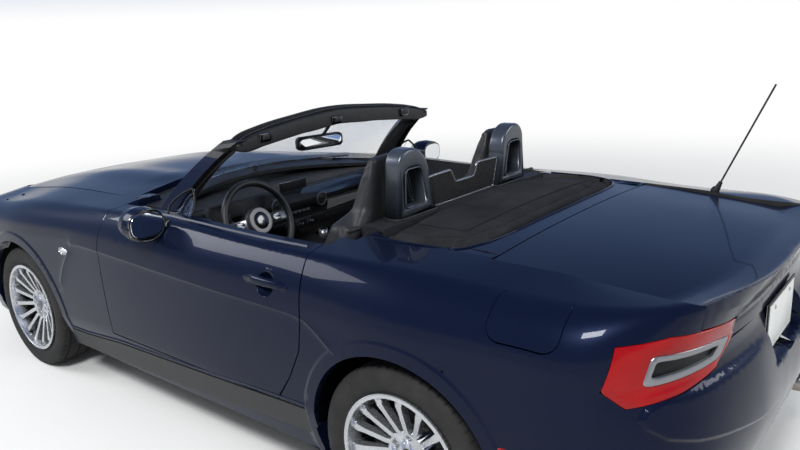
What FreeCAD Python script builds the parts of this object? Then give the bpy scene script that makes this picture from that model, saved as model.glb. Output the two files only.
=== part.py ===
# Two-seat convertible car with its soft top stowed, drawn roof down, wheels straight ahead, lids shut.
# Frame: millimetres, +X forward, +Y to the car's left, +Z up, origin on the ground under the middle.
import FreeCAD
import Part
import Sketcher
import math
import os

os.makedirs("parts", exist_ok=True)
doc = FreeCAD.newDocument("convertible_car")
Vector = FreeCAD.Vector
UP = Vector(0, 0, 1)
ACROSS = Vector(0, 1, 0)
FORWARD = Vector(1, 0, 0)

# Driving sizes: name, value, what it sets
SIZES = (
    ("overall_length", 4054, "bumper to bumper"),
    ("overall_width", 1740, "over the wheel arch lips, without mirrors"),
    ("wheelbase", 2310, "front axle to rear axle"),
    ("front_overhang", 880, "front axle to the nose"),
    ("track", 1496, "between the tyres' middles"),
    ("tyre_diameter", 601, "outside, over the tread"),
    ("tyre_width", 195, "over the sidewalls"),
    ("tread_width", 164, "flat part of the tread"),
    ("rim_diameter", 430, "outside of the rim flanges"),
    ("bead_diameter", 406, "rim where the tyre sits"),
    ("rim_width", 190, "over both flanges"),
    ("rim_wall", 7, "thickness of the rim's barrel"),
    ("spoke_count", 15, "spokes in one wheel"),
    ("spoke_width", 17, "one spoke across at the hub"),
    ("spoke_flare", 26, "one spoke across at the rim"),
    ("hub_diameter", 150, "wheel's middle"),
    ("hub_bore", 64, "hole in the wheel's middle"),
    ("lug_circle", 108, "circle of the wheel bolts"),
    ("lug_hole", 14, "hole of one wheel bolt"),
    ("disc_diameter", 280, "brake disc"),
    ("disc_width", 22, "brake disc's thickness"),
    ("spindle_play", 0.5, "between the hub's bore and the spindle"),
    ("shut_gap", 5, "round doors and lids"),
    ("seam_gap", 0.3, "between fixed panels and what carries them"),
    ("arch_radius", 342, "wheel arch opening"),
    ("well_radius", 352, "wheel well behind the arch"),
    ("well_inner", 475, "wheel well's inner wall from the middle plane"),
    ("lip_depth", 42, "arch lip's depth from the widest point"),
    ("skin", 28, "thickness of lids and bumper covers"),
    ("door_thickness", 150, "door, outer panel to inner trim"),
    ("door_front", 375, "front shut line of the doors, from the middle"),
    ("door_rear", -804, "rear shut line of the doors at the belt"),
    ("door_sweep", 150, "how far the rear shut line comes forward at the sill"),
    ("door_bottom", 352, "lower shut line of the doors"),
    ("belt_height", 870, "top of the doors' outer edge"),
    ("floor_height", 150, "underside of the floor"),
    ("floor_wall", 24, "thickness of the floor"),
    ("cabin_half_width", 690, "inner face of the floor tub's sides"),
    ("engine_length", 560, "plain engine block"),
    ("engine_width", 420, "plain engine block"),
    ("engine_height", 500, "plain engine block"),
    ("seat_width", 500, "one seat over its bolsters"),
    ("seat_offset", 365, "one seat's middle from the middle plane"),
    ("wheel_rim_diameter", 366, "steering wheel"),
    ("wheel_rim_grip", 30, "thickness of the steering wheel's rim"),
    ("column_angle", 22, "steering column above the level, degrees"),
    ("hoop_depth", 70, "one roll hoop front to back"),
    ("hoop_top", 1143, "top of the roll hoops"),
    ("header_height", 1162, "top corner of the windscreen frame"),
    ("glass", 5, "windscreen thickness"),
    ("antenna_diameter", 7, "mast"),
    ("plate_width", 305, "rear registration plate"),
    ("plate_height", 152, "rear registration plate"),
)
sheet = doc.addObject("Spreadsheet::Sheet", "sizes")
for row, (alias, value, meaning) in enumerate(SIZES, start=1):
    sheet.set("A%d" % row, meaning)
    sheet.set("B%d" % row, str(value))
    sheet.setAlias("B%d" % row, alias)
doc.recompute()


def size(alias):
    return float(getattr(sheet, alias))


half_length = size("overall_length") / 2
half_width = size("overall_width") / 2
front_axle = half_length - size("front_overhang")
rear_axle = front_axle - size("wheelbase")
half_track = size("track") / 2
tyre_radius = size("tyre_diameter") / 2
gap = size("shut_gap")
seam = size("seam_gap")
door_front = size("door_front")
door_rear = size("door_rear")
skin = size("skin")
nodes = {}


def box(x0, x1, y0, y1, z0, z1):
    low = Vector(min(x0, x1), min(y0, y1), min(z0, z1))
    return Part.makeBox(abs(x1 - x0), abs(y1 - y0), abs(z1 - z0), low)


def polygon(points):
    return Part.Face(Part.makePolygon([Vector(*p) for p in points] + [Vector(*points[0])]))


def side_prism(points, y0, y1):
    """A side view outline of (x, z) points, drawn from y0 to y1."""
    return polygon([(x, y0, z) for x, z in points]).extrude(Vector(0, y1 - y0, 0))


def plan_prism(points, z0, z1):
    """A plan view outline of (x, y) points, drawn from z0 to z1."""
    return polygon([(x, y, z0) for x, y in points]).extrude(Vector(0, 0, z1 - z0))


def arc_edge(a, b, c):
    return Part.Arc(Vector(*a), Vector(*b), Vector(*c)).toShape()


def line_edge(a, b):
    return Part.makeLine(Vector(*a), Vector(*b))


def loft(wires, ruled=False):
    return Part.makeLoft(wires, True, ruled)


def oval_wire(x, y0, y1, z0, z1):
    """A rounded section across the car, flatter above and below than at its ends."""
    cy, cz = (y0 + y1) / 2, (z0 + z1) / 2
    return Part.Wire([arc_edge((x, y0, cz), (x, y0 + 0.17 * (y1 - y0), z1 - 0.12 * (z1 - z0)), (x, cy, z1)),
                      arc_edge((x, cy, z1), (x, y1 - 0.13 * (y1 - y0), z1 - 0.16 * (z1 - z0)), (x, y1, cz)),
                      arc_edge((x, y1, cz), (x, y1 - 0.17 * (y1 - y0), z0 + 0.14 * (z1 - z0)), (x, cy, z0)),
                      arc_edge((x, cy, z0), (x, y0 + 0.17 * (y1 - y0), z0 + 0.12 * (z1 - z0)), (x, y0, cz))])


def cylinder_y(x, z, radius, y0, y1):
    return Part.makeCylinder(radius, abs(y1 - y0), Vector(x, min(y0, y1), z), ACROSS)


def mirrored(shape):
    return shape.mirror(Vector(0, 0, 0), ACROSS)


def both(shape):
    return shape.fuse(mirrored(shape))


def origin_plane(body, role):
    return [feature for feature in body.Origin.OriginFeatures if feature.Role == role][0]


def new_sketch(body, name, role, offset):
    sketch = body.newObject("Sketcher::SketchObject", name)
    sketch.AttachmentSupport = [(origin_plane(body, role), "")]
    sketch.MapMode = "FlatFace"
    sketch.setExpression("AttachmentOffset.Base.z", offset)
    return sketch


def bind(sketch, kind, geometry, point, term, value):
    """A dimension from the sketch's origin to a point, tied to an expression."""
    number = sketch.addConstraint(Sketcher.Constraint(kind, -1, 1, geometry, point, value))
    sketch.setExpression("Constraints[%d]" % number, term)


def outline_sketch(body, name, role, points, offset="0"):
    """A closed outline on one of the body's own planes; each point is a pair of expressions."""
    sketch = new_sketch(body, name, role, offset)
    places = [[float(body.evalExpression(term)) for term in point] for point in points]
    for index, place in enumerate(places):
        after = places[(index + 1) % len(places)]
        sketch.addGeometry(Part.LineSegment(Vector(*place, 0), Vector(*after, 0)), False)
    for index, point in enumerate(points):
        sketch.addConstraint(Sketcher.Constraint("Coincident", index, 2, (index + 1) % len(points), 1))
        bind(sketch, "DistanceX", index, 1, point[0], places[index][0])
        bind(sketch, "DistanceY", index, 1, point[1], places[index][1])
    return sketch


def circle_sketch(body, name, role, centre, radius, offset="0"):
    sketch = new_sketch(body, name, role, offset)
    place = [float(body.evalExpression(term)) for term in centre]
    reach = float(body.evalExpression(radius))
    sketch.addGeometry(Part.Circle(Vector(*place, 0), UP, reach), False)
    bind(sketch, "DistanceX", 0, 3, centre[0], place[0])
    bind(sketch, "DistanceY", 0, 3, centre[1], place[1])
    number = sketch.addConstraint(Sketcher.Constraint("Radius", 0, reach))
    sketch.setExpression("Constraints[%d]" % number, radius)
    return sketch


def straight(body, name, sketch, length, kind="PartDesign::Pad", both_ways=False, reverse=False):
    """A pad, or a pocket where kind says so."""
    feature = body.newObject(kind, name)
    feature.Profile = sketch
    feature.setExpression("Length", length)
    feature.Midplane = both_ways
    feature.Reversed = reverse
    body.Tip = feature
    return feature


def turned(body, name, sketch, axis, kind="PartDesign::Revolution"):
    """A revolution, or a groove where kind says so."""
    feature = body.newObject(kind, name)
    feature.Profile = sketch
    feature.ReferenceAxis = (sketch, [axis])
    feature.Angle = 360
    body.Tip = feature
    return feature


def repeated(body, name, original, axis_sketch, axis, count):
    feature = body.newObject("PartDesign::PolarPattern", name)
    feature.Originals = [original]
    feature.Axis = (axis_sketch, [axis])
    feature.Angle = 360
    feature.setExpression("Occurrences", count)
    body.Tip = feature
    return feature


def sub_part(name, shape):
    """Keeps a finished shape as one named sub-part of the document."""
    feature = doc.addObject("Part::Feature", name)
    feature.Label = name
    feature.Shape = shape
    nodes[name] = feature
    return feature


def both_sides(name, shape):
    sub_part("left_" + name, shape)
    sub_part("right_" + name, mirrored(shape))


BULKHEAD = (-880, -860)
LOCK_PILLAR = -798
# Body side. Each row is one station; each level has its inset from the widest point and its height.
# Columns: x, then inset and height of sill, low, middle, crease, upper, shoulder, edge
STATIONS = (
    (front_axle + 353, (70, 190), (24, 330), (12, 480), (18, 640), (42, 730), (125, 780), (310, 815)),
    (front_axle, (70, 190), (20, 330), (4, 490), (2, 668), (26, 760), (118, 824), (285, 853)),
    (760, (70, 185), (24, 335), (12, 500), (9, 700), (28, 785), (110, 850), (262, 876)),
    (door_front, (70, 185), (24, 345), (12, 520), (9, 705), (28, 795), (84, 868), (232, 888)),
    (0, (70, 185), (24, 350), (13, 520), (9, 698), (30, 800), (92, 878), (235, 893)),
    (-404, (70, 190), (24, 356), (14, 525), (10, 690), (32, 792), (86, 868), (240, 888)),
    (door_rear, (70, 190), (24, 365), (12, 530), (10, 684), (30, 790), (84, 870), (272, 895)),
    (rear_axle, (70, 195), (20, 345), (3, 500), (1, 670), (22, 790), (98, 874), (280, 896)),
    (rear_axle - 337, (75, 205), (30, 340), (18, 500), (20, 680), (38, 790), (118, 862), (290, 890)),
)
# Nose and tail on the middle plane: each level's distance inside the bumper's tip, and its height
NOSE = ((77, 190), (17, 300), (0, 430), (8, 570), (42, 660), (97, 715), (177, 757))
TAIL = ((95, 230), (28, 340), (0, 500), (58, 700), (56, 790), (14, 876), (290, 862))
NOSE_ROUND = 2.6
TAIL_ROUND = 3.3
INNER = 540
DEEP = 330
FAN = (0, 25, 50, 72, 90)


def station_ring(row):
    x = row[0]
    return [(x, half_width - inset, height) for inset, height in row[1:]]


def fan_ring(row, ends, tip, roundness, degrees):
    """Levels at one angle of the nose or tail, from the side (90) to the middle plane (0)."""
    along = math.cos(math.radians(degrees))
    across = math.sin(math.radians(degrees))
    points = []
    for (inset, height), (back, end_height) in zip(row[1:], ends):
        end = tip - math.copysign(back, tip)
        share = max(along, 0.0) ** (2 / roundness)
        x = row[0] + (end - row[0]) * share
        y = (half_width - inset) * max(across, 0.0) ** (2 / roundness)
        points.append((x, y, height + (end_height - height) * share ** 2))
    return points


def ring_wire(points, inner):
    """Closed section of the body side: outer levels in lines and arcs, inner wall straight down."""
    sill, low, middle, crease, upper, shoulder, edge = points
    foot = (inner[0], inner[1], sill[2])
    head = (inner[0], inner[1], edge[2])
    edges = [line_edge(sill, low), arc_edge(low, middle, crease), arc_edge(crease, upper, shoulder),
             line_edge(shoulder, edge)]
    if (Vector(*head) - Vector(*edge)).Length > 1:
        edges.append(line_edge(edge, head))
    edges += [line_edge(head, foot), line_edge(foot, sill)]
    return Part.Wire(edges)


def station_wire(row, inner_y):
    points = station_ring(row)
    return ring_wire(points, (row[0], inner_y))


def fan_wire(row, ends, tip, roundness, degrees, inner_y, deep):
    points = fan_ring(row, ends, tip, roundness, degrees)
    share = math.cos(math.radians(degrees)) ** (2 / roundness) if degrees < 90 else 0.0
    across = math.sin(math.radians(degrees)) ** (2 / roundness)
    end = tip - math.copysign(deep, tip)
    return ring_wire(points, (row[0] + (end - row[0]) * share, inner_y * across))


def fan_block(row, ends, tip, roundness, inset=0):
    """One quarter of the nose or tail as a closed block; inset draws the room behind its skin."""
    levels = [(into + inset, height) for into, height in row[1:]]
    backs = [(back + inset, height) for back, height in ends]
    if inset:
        levels = [(levels[0][0], levels[0][1] - 4 * inset)] + levels[1:5] + lowered(levels[5:], inset)
        backs = [(backs[0][0], backs[0][1] - 4 * inset)] + backs[1:5] + lowered(backs[5:], inset)
    inner_y = INNER - 4 * inset
    deep = DEEP + 3 * inset
    inside = (row[0],) + tuple(levels)
    return loft([fan_wire(inside, backs, tip, roundness, angle, inner_y, deep) for angle in FAN])


def lowered(levels, amount):
    return [(into, height - amount) for into, height in levels]


# Left side of the body as closed blocks, from which the panels are cut
nose_block = fan_block(STATIONS[0], NOSE, half_length, NOSE_ROUND)
nose_room = fan_block(STATIONS[0], NOSE, half_length, NOSE_ROUND, skin)
front_block = loft([station_wire(row, INNER) for row in STATIONS[0:5]])
door_block = loft([station_wire(row, INNER) for row in STATIONS[2:8]])
rear_block = loft([station_wire(row, INNER) for row in STATIONS[5:9]])
tail_block = fan_block(STATIONS[8], TAIL, -half_length, TAIL_ROUND)
tail_room = fan_block(STATIONS[8], TAIL, -half_length, TAIL_ROUND, skin)
front_side = front_block.fuse(nose_block)
rear_side = rear_block.fuse(tail_block)
nose_pivot = STATIONS[0][0]
tail_pivot = STATIONS[8][0]
outside = half_width + 60

arch = size("arch_radius")
well = size("well_radius")
well_inner = size("well_inner")
lip_inner = half_width - size("lip_depth")


def wheel_space(axle):
    """What the wheel needs inside the body: the opening in the skin and the wider well behind it."""
    opening = cylinder_y(axle, tyre_radius, arch, well_inner, outside)
    behind = cylinder_y(axle, tyre_radius, well, well_inner, lip_inner)
    below = box(axle - arch, axle + arch, well_inner, outside, 0, tyre_radius)
    return opening.fuse(behind).fuse(below)


front_space = wheel_space(front_axle)
rear_space = wheel_space(rear_axle)

# Hood outline in plan, followed by the fenders' inner edges
HOOD_REAR_CORNER = (440, half_width - 240)
HOOD_REAR_MIDDLE = 555


def hood_outline(grow, low, high):
    """The hood's plan outline as a prism, grown outwards by a clearance."""
    side = [(HOOD_REAR_CORNER[0], HOOD_REAR_CORNER[1])]
    side += [(row[0], half_width - row[7][0]) for row in (STATIONS[2], STATIONS[1], STATIONS[0])]
    reach = half_length - NOSE[6][0] - nose_pivot
    width = half_width - STATIONS[0][7][0]

    def nose_point(degrees):
        share = math.cos(math.radians(degrees)) ** (2 / NOSE_ROUND)
        across = math.sin(math.radians(degrees)) ** (2 / NOSE_ROUND)
        return (nose_pivot + (reach + grow) * share, (width + grow) * across)

    left = [(side[0][0] - grow, side[0][1] + grow)] + [(x, y + grow) for x, y in side[1:]]
    edges = [line_edge(a + (low,), b + (low,)) for a, b in zip(left, left[1:])]
    corner = [nose_point(angle) + (low,) for angle in (70, 50, 35, 20)]
    tip = (nose_pivot + reach + grow, 0, low)
    edges.append(arc_edge(left[-1] + (low,), corner[0], corner[1]))
    edges.append(arc_edge(corner[1], corner[2], corner[3]))
    mirror_points = [(x, -y, z) for x, y, z in corner]
    edges.append(arc_edge(corner[3], tip, mirror_points[3]))
    edges.append(arc_edge(mirror_points[3], mirror_points[2], mirror_points[1]))
    right = [(x, -y) for x, y in left]
    edges.append(arc_edge(mirror_points[1], mirror_points[0], right[-1] + (low,)))
    edges += [line_edge(a + (low,), b + (low,)) for a, b in zip(right[::-1], right[-2::-1])]
    edges.append(arc_edge(right[0] + (low,), (HOOD_REAR_MIDDLE - grow, 0, low), left[0] + (low,)))
    return Part.Face(Part.Wire(edges)).extrude(Vector(0, 0, high - low))


# Top of the car ahead of the windscreen. Columns: x, height at the middle, height at the edge line
HOOD_EDGE_LINE = 640
HOOD_ROWS = ((120, 888, 880), (555, 914, 880), (760, 914, 872), (front_axle, 897, 846),
             (nose_pivot, 850, 804), (nose_pivot + 250, 803, 757), (nose_pivot + 380, 746, 692))


def top_section(x, middle, edge, line, drop, thick):
    high = [(x, -line, edge - drop), (x, 0, middle - drop), (x, line, edge - drop)]
    low = [(px, py, pz - thick) for px, py, pz in high]
    return Part.Wire([arc_edge(*high), line_edge(high[2], low[2]), arc_edge(low[2], low[1], low[0]),
                      line_edge(low[0], high[0])])


hood_sheet = loft([top_section(*row, HOOD_EDGE_LINE, 0, skin) for row in HOOD_ROWS])

# Two long bulges on the hood, at the same stations. Columns: row of the hood, rise, half width
BULGE_LINE = 330
BULGE_ROOT = 8
BULGE_ROWS = ((1, 1, 60), (2, 10, 105), (3, 11, 110), (4, 2, 70))


def hood_height(row, y):
    """Height of the hood's arc at one station, at a distance from the middle."""
    x, middle, edge = HOOD_ROWS[row]
    fall = middle - edge
    radius = (HOOD_EDGE_LINE ** 2 + fall ** 2) / (2 * fall)
    return middle - radius + math.sqrt(radius ** 2 - y ** 2)


def bulge_wire(row, rise, half):
    x = HOOD_ROWS[row][0]
    inner, outer = BULGE_LINE - half, BULGE_LINE + half
    crest = (x, BULGE_LINE, hood_height(row, BULGE_LINE) + rise)
    ends = [(x, y, hood_height(row, y)) for y in (inner, outer)]
    low = [(x, y, hood_height(row, y) - BULGE_ROOT) for y in (outer, inner)]
    return Part.Wire([arc_edge(ends[0], crest, ends[1]), line_edge(ends[1], low[0]),
                      line_edge(low[0], low[1]), line_edge(low[1], ends[0])])


bulge = loft([bulge_wire(*row) for row in BULGE_ROWS])
hood_sheet = hood_sheet.fuse(both(bulge))
sub_part("hood", hood_sheet.common(hood_outline(0, 600, 1000)))

# Cowl behind the hood, below the windscreen, with the two wiper arms' posts
cowl_sheet = loft([top_section(*row, HOOD_EDGE_LINE, 24, 16) for row in HOOD_ROWS[0:3]])
COWL_HALF = HOOD_EDGE_LINE - 16
cowl_back = [(150, COWL_HALF, 700), (405, 0, 700), (150, -COWL_HALF, 700)]
cowl_edges = [arc_edge(*cowl_back), line_edge(cowl_back[2], (490, -COWL_HALF, 700)),
              line_edge((490, -COWL_HALF, 700), (580, 0, 700)), line_edge((580, 0, 700), (490, COWL_HALF, 700)),
              line_edge((490, COWL_HALF, 700), cowl_back[0])]
cowl_room = Part.Face(Part.Wire(cowl_edges)).extrude(Vector(0, 0, 300))
cowl = cowl_sheet.common(cowl_room).cut(hood_outline(gap, 600, 1000))
cowl = cowl.cut(both(box(door_front - gap, 700, INNER - gap, 700, 700, 1000)))
sub_part("cowl", cowl)

# Doors' outline in side view; the rear edge leans in towards the trim so that the door can swing
door_bottom = size("door_bottom")
door_inner = half_width - 15 - size("door_thickness")
sweep = size("door_sweep")
REAR_LEAN = 30


def door_space(grow):
    rear = door_rear - grow
    top = 1000
    outer = ((door_front + grow, door_bottom - grow), (door_front + grow, top), (rear, top),
             (rear, size("belt_height")), (rear - 12, 690), (rear + 8, 570), (rear + 0.45 * sweep, 460),
             (rear + sweep, door_bottom - grow))
    inner = [(x, z) if x > 0 else (x + REAR_LEAN, z) for x, z in outer]
    wires = []
    for points, y in ((outer, outside), (inner, door_inner - grow)):
        ring = [Vector(x, y, z) for x, z in points]
        wires.append(Part.makePolygon(ring + ring[:1]))
    return loft(wires, True)


door_cut = door_space(gap)

# Front fender: from the door's shut line to the headlamp, inner wing included
sill_top = door_bottom - gap
fender_end = front_axle + 560
bumper_line = front_axle + 300
FENDER = ((door_front + gap, sill_top), (door_front + gap, 1000), (fender_end, 1000), (fender_end, 712),
          (bumper_line, 560), (front_axle, 560), (front_axle, sill_top))
fender = front_side.common(side_prism(FENDER, INNER, outside))
hollow = side_prism(((door_front + 45, sill_top - 10), (door_front + 45, 740), (front_axle - 330, 800),
                     (front_axle + 250, 770), (front_axle + 380, 700), (front_axle + 380, 400),
                     (front_axle, 300), (front_axle, sill_top - 10)), 596, half_width - 70)
hood_cut = hood_outline(gap, 600, 1000)
fender = fender.cut(front_space).cut(hollow).cut(hood_cut)

# Front bumper cover: one piece round the nose
BUMPER = ((front_axle + 200, 100), (front_axle + 200, 560 - seam), (bumper_line, 560 - seam),
          (fender_end + seam, 712 - seam), (fender_end + seam, 900), (half_length + 60, 900),
          (half_length + 60, 100))
cover = front_side.common(side_prism(BUMPER, -1, outside))
cover = cover.cut(nose_room).cut(box(front_axle, nose_pivot, 0, lip_inner, 0, 1000))
cover = cover.cut(front_space).cut(hood_cut)

# Headlamps wrap round the nose's corners, drawn as an outline seen from the corner
LAMP_TURN = 40


def corner_prism(points, degrees, sign, near, far):
    """An outline of (along, height) points seen from a corner of the car, as a prism."""
    out_x = sign * math.cos(math.radians(degrees))
    out_y = math.sin(math.radians(degrees))
    ring = [Vector(out_x * near + sign * out_y * t, out_y * near - sign * sign * abs(out_x) * t, z)
            for t, z in points]
    face = Part.Face(Part.makePolygon(ring + ring[:1]))
    return face.extrude(Vector(out_x, out_y, 0) * (far - near))


HEADLAMP = ((690, 640), (640, 690), (700, 770), (800, 792), (905, 745), (960, 690), (905, 652), (800, 625))
TAILLAMP = ((350, 692), (388, 800), (523, 813), (784, 790), (768, 738), (690, 690), (557, 670), (402, 652))


def grown(points, amount):
    middle = [sum(p[i] for p in points) / len(points) for i in (0, 1)]
    out = []
    for t, z in points:
        reach = math.hypot(t - middle[0], z - middle[1])
        scale = (reach + amount) / reach
        out.append((middle[0] + (t - middle[0]) * scale, middle[1] + (z - middle[1]) * scale))
    return out


LAMP_DEPTH = 50
headlamp_prism = corner_prism(HEADLAMP, LAMP_TURN, 1, 1000, 2400)
headlamp_cut = corner_prism(grown(HEADLAMP, seam), LAMP_TURN, 1, 1000, 2400)
taillamp_prism = corner_prism(TAILLAMP, 35, -1, 1000, 2400)
taillamp_cut = corner_prism(grown(TAILLAMP, seam), 35, -1, 1000, 2400)
lamp_room = fan_block(STATIONS[0], NOSE, half_length, NOSE_ROUND, LAMP_DEPTH)
headlamp = nose_block.common(headlamp_prism).cut(lamp_room).cut(hood_cut)
lamp_room = fan_block(STATIONS[8], TAIL, -half_length, TAIL_ROUND, LAMP_DEPTH)
taillamp = tail_block.common(taillamp_prism).cut(lamp_room)
# Ring and window sunk into each tail lamp. Columns: outline as (along, height), depth
LAMP_STEPS = ((((460, 700), (502, 762), (752, 739), (712, 672)), 2.5),
              (((482, 713), (516, 745), (732, 725), (702, 689)), 7))
for outline, depth in LAMP_STEPS:
    step = corner_prism(outline, 35, -1, 1000, 2400)
    taillamp = taillamp.cut(step.cut(fan_block(STATIONS[8], TAIL, -half_length, TAIL_ROUND, depth)))
fender = fender.cut(headlamp_cut)
sub_part("front_fenders", both(fender))
sub_part("headlamps", both(headlamp))

# Mouths of the front bumper: upper grille and lower intake, outlines in front view
GRILLE = ((-360, 560), (360, 560), (300, 440), (-300, 440))
INTAKE = ((-420, 390), (420, 390), (520, 260), (-520, 260))


def front_prism(points, x0, x1):
    return polygon([(x0, y, z) for y, z in points]).extrude(Vector(x1 - x0, 0, 0))


mouths = front_prism(GRILLE, 1500, half_length + 50).fuse(front_prism(INTAKE, 1500, half_length + 50))
half_cover = cover.cut(headlamp_cut)
front_cover = half_cover.fuse(mirrored(half_cover)).cut(mouths)
sub_part("front_bumper", front_cover)

# Grille panel a little behind the mouths, cut as bars
MESH_THICK = 8
GRILLE_BEHIND = 1.2
grille_face = fan_block(STATIONS[0], NOSE, half_length, NOSE_ROUND, skin + GRILLE_BEHIND)
grille_back = fan_block(STATIONS[0], NOSE, half_length, NOSE_ROUND, skin + GRILLE_BEHIND + MESH_THICK)
half_grille = nose_block.common(grille_face).cut(grille_back).common(box(1700, 2100, -1, 470, 250, 575))
grille = half_grille.fuse(mirrored(half_grille))
slots = [box(1500, 2100, -440, 440, z, z + 14) for z in range(274, 384, 26)]
slots += [box(1500, 2100, -300, 300, z, z + 12) for z in range(450, 552, 22)]
for slot in slots:
    grille = grille.cut(slot)
sub_part("grille", grille)

# Doors
window_slot = box(door_rear + 60, door_front - 120, door_inner + 26, door_inner + 40, 820, 1000)
door = door_block.common(door_space(0)).cut(window_slot)
HANDLE_PLACE = (-640, 766)
handle_cup = Part.makeSphere(46, Vector(HANDLE_PLACE[0], half_width - 4, HANDLE_PLACE[1]))
# Bar handle over its cup. Columns: x from the cup, inner and outer side's inset, low and high from the cup
HANDLE = ((-104, 34, 20, -9, 10), (-60, 35, 12, -14, 16), (50, 35, 10, -16, 18), (102, 32, 17, -9, 11))
handle = loft([oval_wire(HANDLE_PLACE[0] + x, half_width - inner, half_width - outer,
                         HANDLE_PLACE[1] + low, HANDLE_PLACE[1] + high)
               for x, inner, outer, low, high in HANDLE], True)
door = door.cut(handle_cup).fuse(handle)
both_sides("door", door)

# Sills under the doors, between the wheel arches
sill_front = front_axle - arch + 4
sill_rear = rear_axle + arch - 4
sill_box = box(sill_rear, sill_front, door_inner + 40, outside, 100, sill_top)
sill = front_block.fuse(door_block).common(sill_box).cut(front_space).cut(rear_space)
sub_part("sills", both(sill))

# Rear quarter panels with the wheel wells' outer halves
lid_front = -1337
LID_HALF = ((lid_front, 590), (-1720, 577), (-1945, 588))
LID_LOW = 742
LID_NECK = 428
LID_STEP = 797


def lid_outline(grow, low, high):
    left = [(LID_HALF[0][0] + grow, LID_HALF[0][1] + grow)] + [(x, y + grow) for x, y in LID_HALF[1:]]
    left.append((-half_length - 60, LID_HALF[2][1] + grow))
    return plan_prism(left + [(x, -y) for x, y in left[::-1]], low, high)


def lid_space(grow):
    """The lid's room: wide on top of the tail, narrower where its face hangs between the lamps."""
    neck = LID_NECK + grow
    face = box(-half_length - 60, -1880, -neck, neck, LID_LOW - grow, 1000)
    return lid_outline(grow, LID_STEP - grow, 1000).fuse(face)


# Stowed soft top in its well behind the seats
TOP_FRONT = -895
TOP_REAR = -1256
TOP_HALF = 592


def top_outline(grow, low, high):
    half = TOP_HALF + grow
    left = [(TOP_FRONT + grow, half - 40), (-1040, half), (-1140, half - 12)]
    edges = [line_edge(a + (low,), b + (low,)) for a, b in zip(left, left[1:])]
    corner = (-1225 - grow * 0.7, half - 90, low)
    rear = (TOP_REAR - grow + 6, half - 200, low)
    edges.append(arc_edge(left[-1] + (low,), corner, rear))
    right = [(x, -y) for x, y in left]
    mirror_corner = (corner[0], -corner[1], low)
    mirror_rear = (rear[0], -rear[1], low)
    edges.append(arc_edge(rear, (TOP_REAR - grow, 0, low), mirror_rear))
    edges.append(arc_edge(mirror_rear, mirror_corner, right[-1] + (low,)))
    edges += [line_edge(a + (low,), b + (low,)) for a, b in zip(right[::-1], right[-2::-1])]
    edges.append(line_edge(right[0] + (low,), left[0] + (low,)))
    return Part.Face(Part.Wire(edges)).extrude(Vector(0, 0, high - low))


well_cut = top_outline(10, 700, 1000)
quarter_box = box(-half_length - 60, door_rear + 200, INNER, outside, sill_top, 1000)
bumper_split = side_prism(((rear_axle - 200, 0), (rear_axle - 200, 636), (rear_axle - 340, 660),
                           (-1800, 716), (-half_length - 100, 742), (-half_length - 100, 0)),
                          -1, outside)
quarter = rear_side.common(quarter_box).cut(rear_space).cut(door_cut).cut(bumper_split)
lid_cut = lid_space(gap)
quarter = quarter.cut(lid_outline(gap, 600, 1000)).cut(well_cut)
quarter = quarter.cut(taillamp_cut)
quarter = quarter.cut(box(BULKHEAD[1] - 2, 0, 0, 640, 0, 1200)).cut(box(LOCK_PILLAR, 0, 0, door_inner, 0, 1200))
sub_part("tail_lamps", both(taillamp))

# Rear bumper cover: one piece round the tail, with a flat for the plate
between_lamps = box(-half_length - 60, -1880, -1, LID_HALF[2][1], 700, LID_STEP - 2 * gap)
tail_cover = rear_side.common(bumper_split.fuse(between_lamps)).cut(tail_room).cut(rear_space)
tail_cover = tail_cover.cut(box(tail_pivot, rear_axle, 0, lip_inner, 0, 1000))
tail_cover = tail_cover.cut(lid_cut).cut(taillamp_cut)
tail_cover = max(tail_cover.Solids, key=lambda solid: solid.Volume)
rear_cover = tail_cover.fuse(mirrored(tail_cover))
plate_half = size("plate_width") / 2
plate_low = 585
plate_face = -1972
rear_cover = rear_cover.cut(box(-2400, plate_face, -plate_half - 30, plate_half + 30, plate_low - 20, 900))
TAIL_PIPE = (470, 240, 34)   # from the middle, above the ground, radius
notch = Part.makeCylinder(TAIL_PIPE[2] + 6, 500, Vector(-1700, TAIL_PIPE[0], TAIL_PIPE[1]), FORWARD * -1)
notch = notch.fuse(box(-2200, -1700, TAIL_PIPE[0] - 40, TAIL_PIPE[0] + 40, 100, TAIL_PIPE[1]))
rear_cover = rear_cover.cut(both(notch))
sub_part("rear_bumper", rear_cover)
PLATE_THICK = 6
plate = box(plate_face - seam, plate_face - seam - PLATE_THICK, -plate_half, plate_half,
            plate_low, plate_low + size("plate_height"))
sub_part("rear_plate", plate)


def level_x(level, y):
    """How far back a level of the tail lies at a distance y from the middle plane, and its height."""
    into, height = STATIONS[8][level + 1]
    back, end_height = TAIL[level]
    wide = half_width - into
    share = (1 - (abs(y) / wide) ** TAIL_ROUND) ** (1 / TAIL_ROUND)
    return tail_pivot + (-half_length + back - tail_pivot) * share, height + (end_height - height) * share ** 2


# Top of the tail in side view sections across the car. Columns: y, height at the front, at the crease
TAIL_TOP_ROWS = ((0, 905, 868), (300, 902, 864), (600, 890, 852))
CREASE_AHEAD = 95


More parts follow.
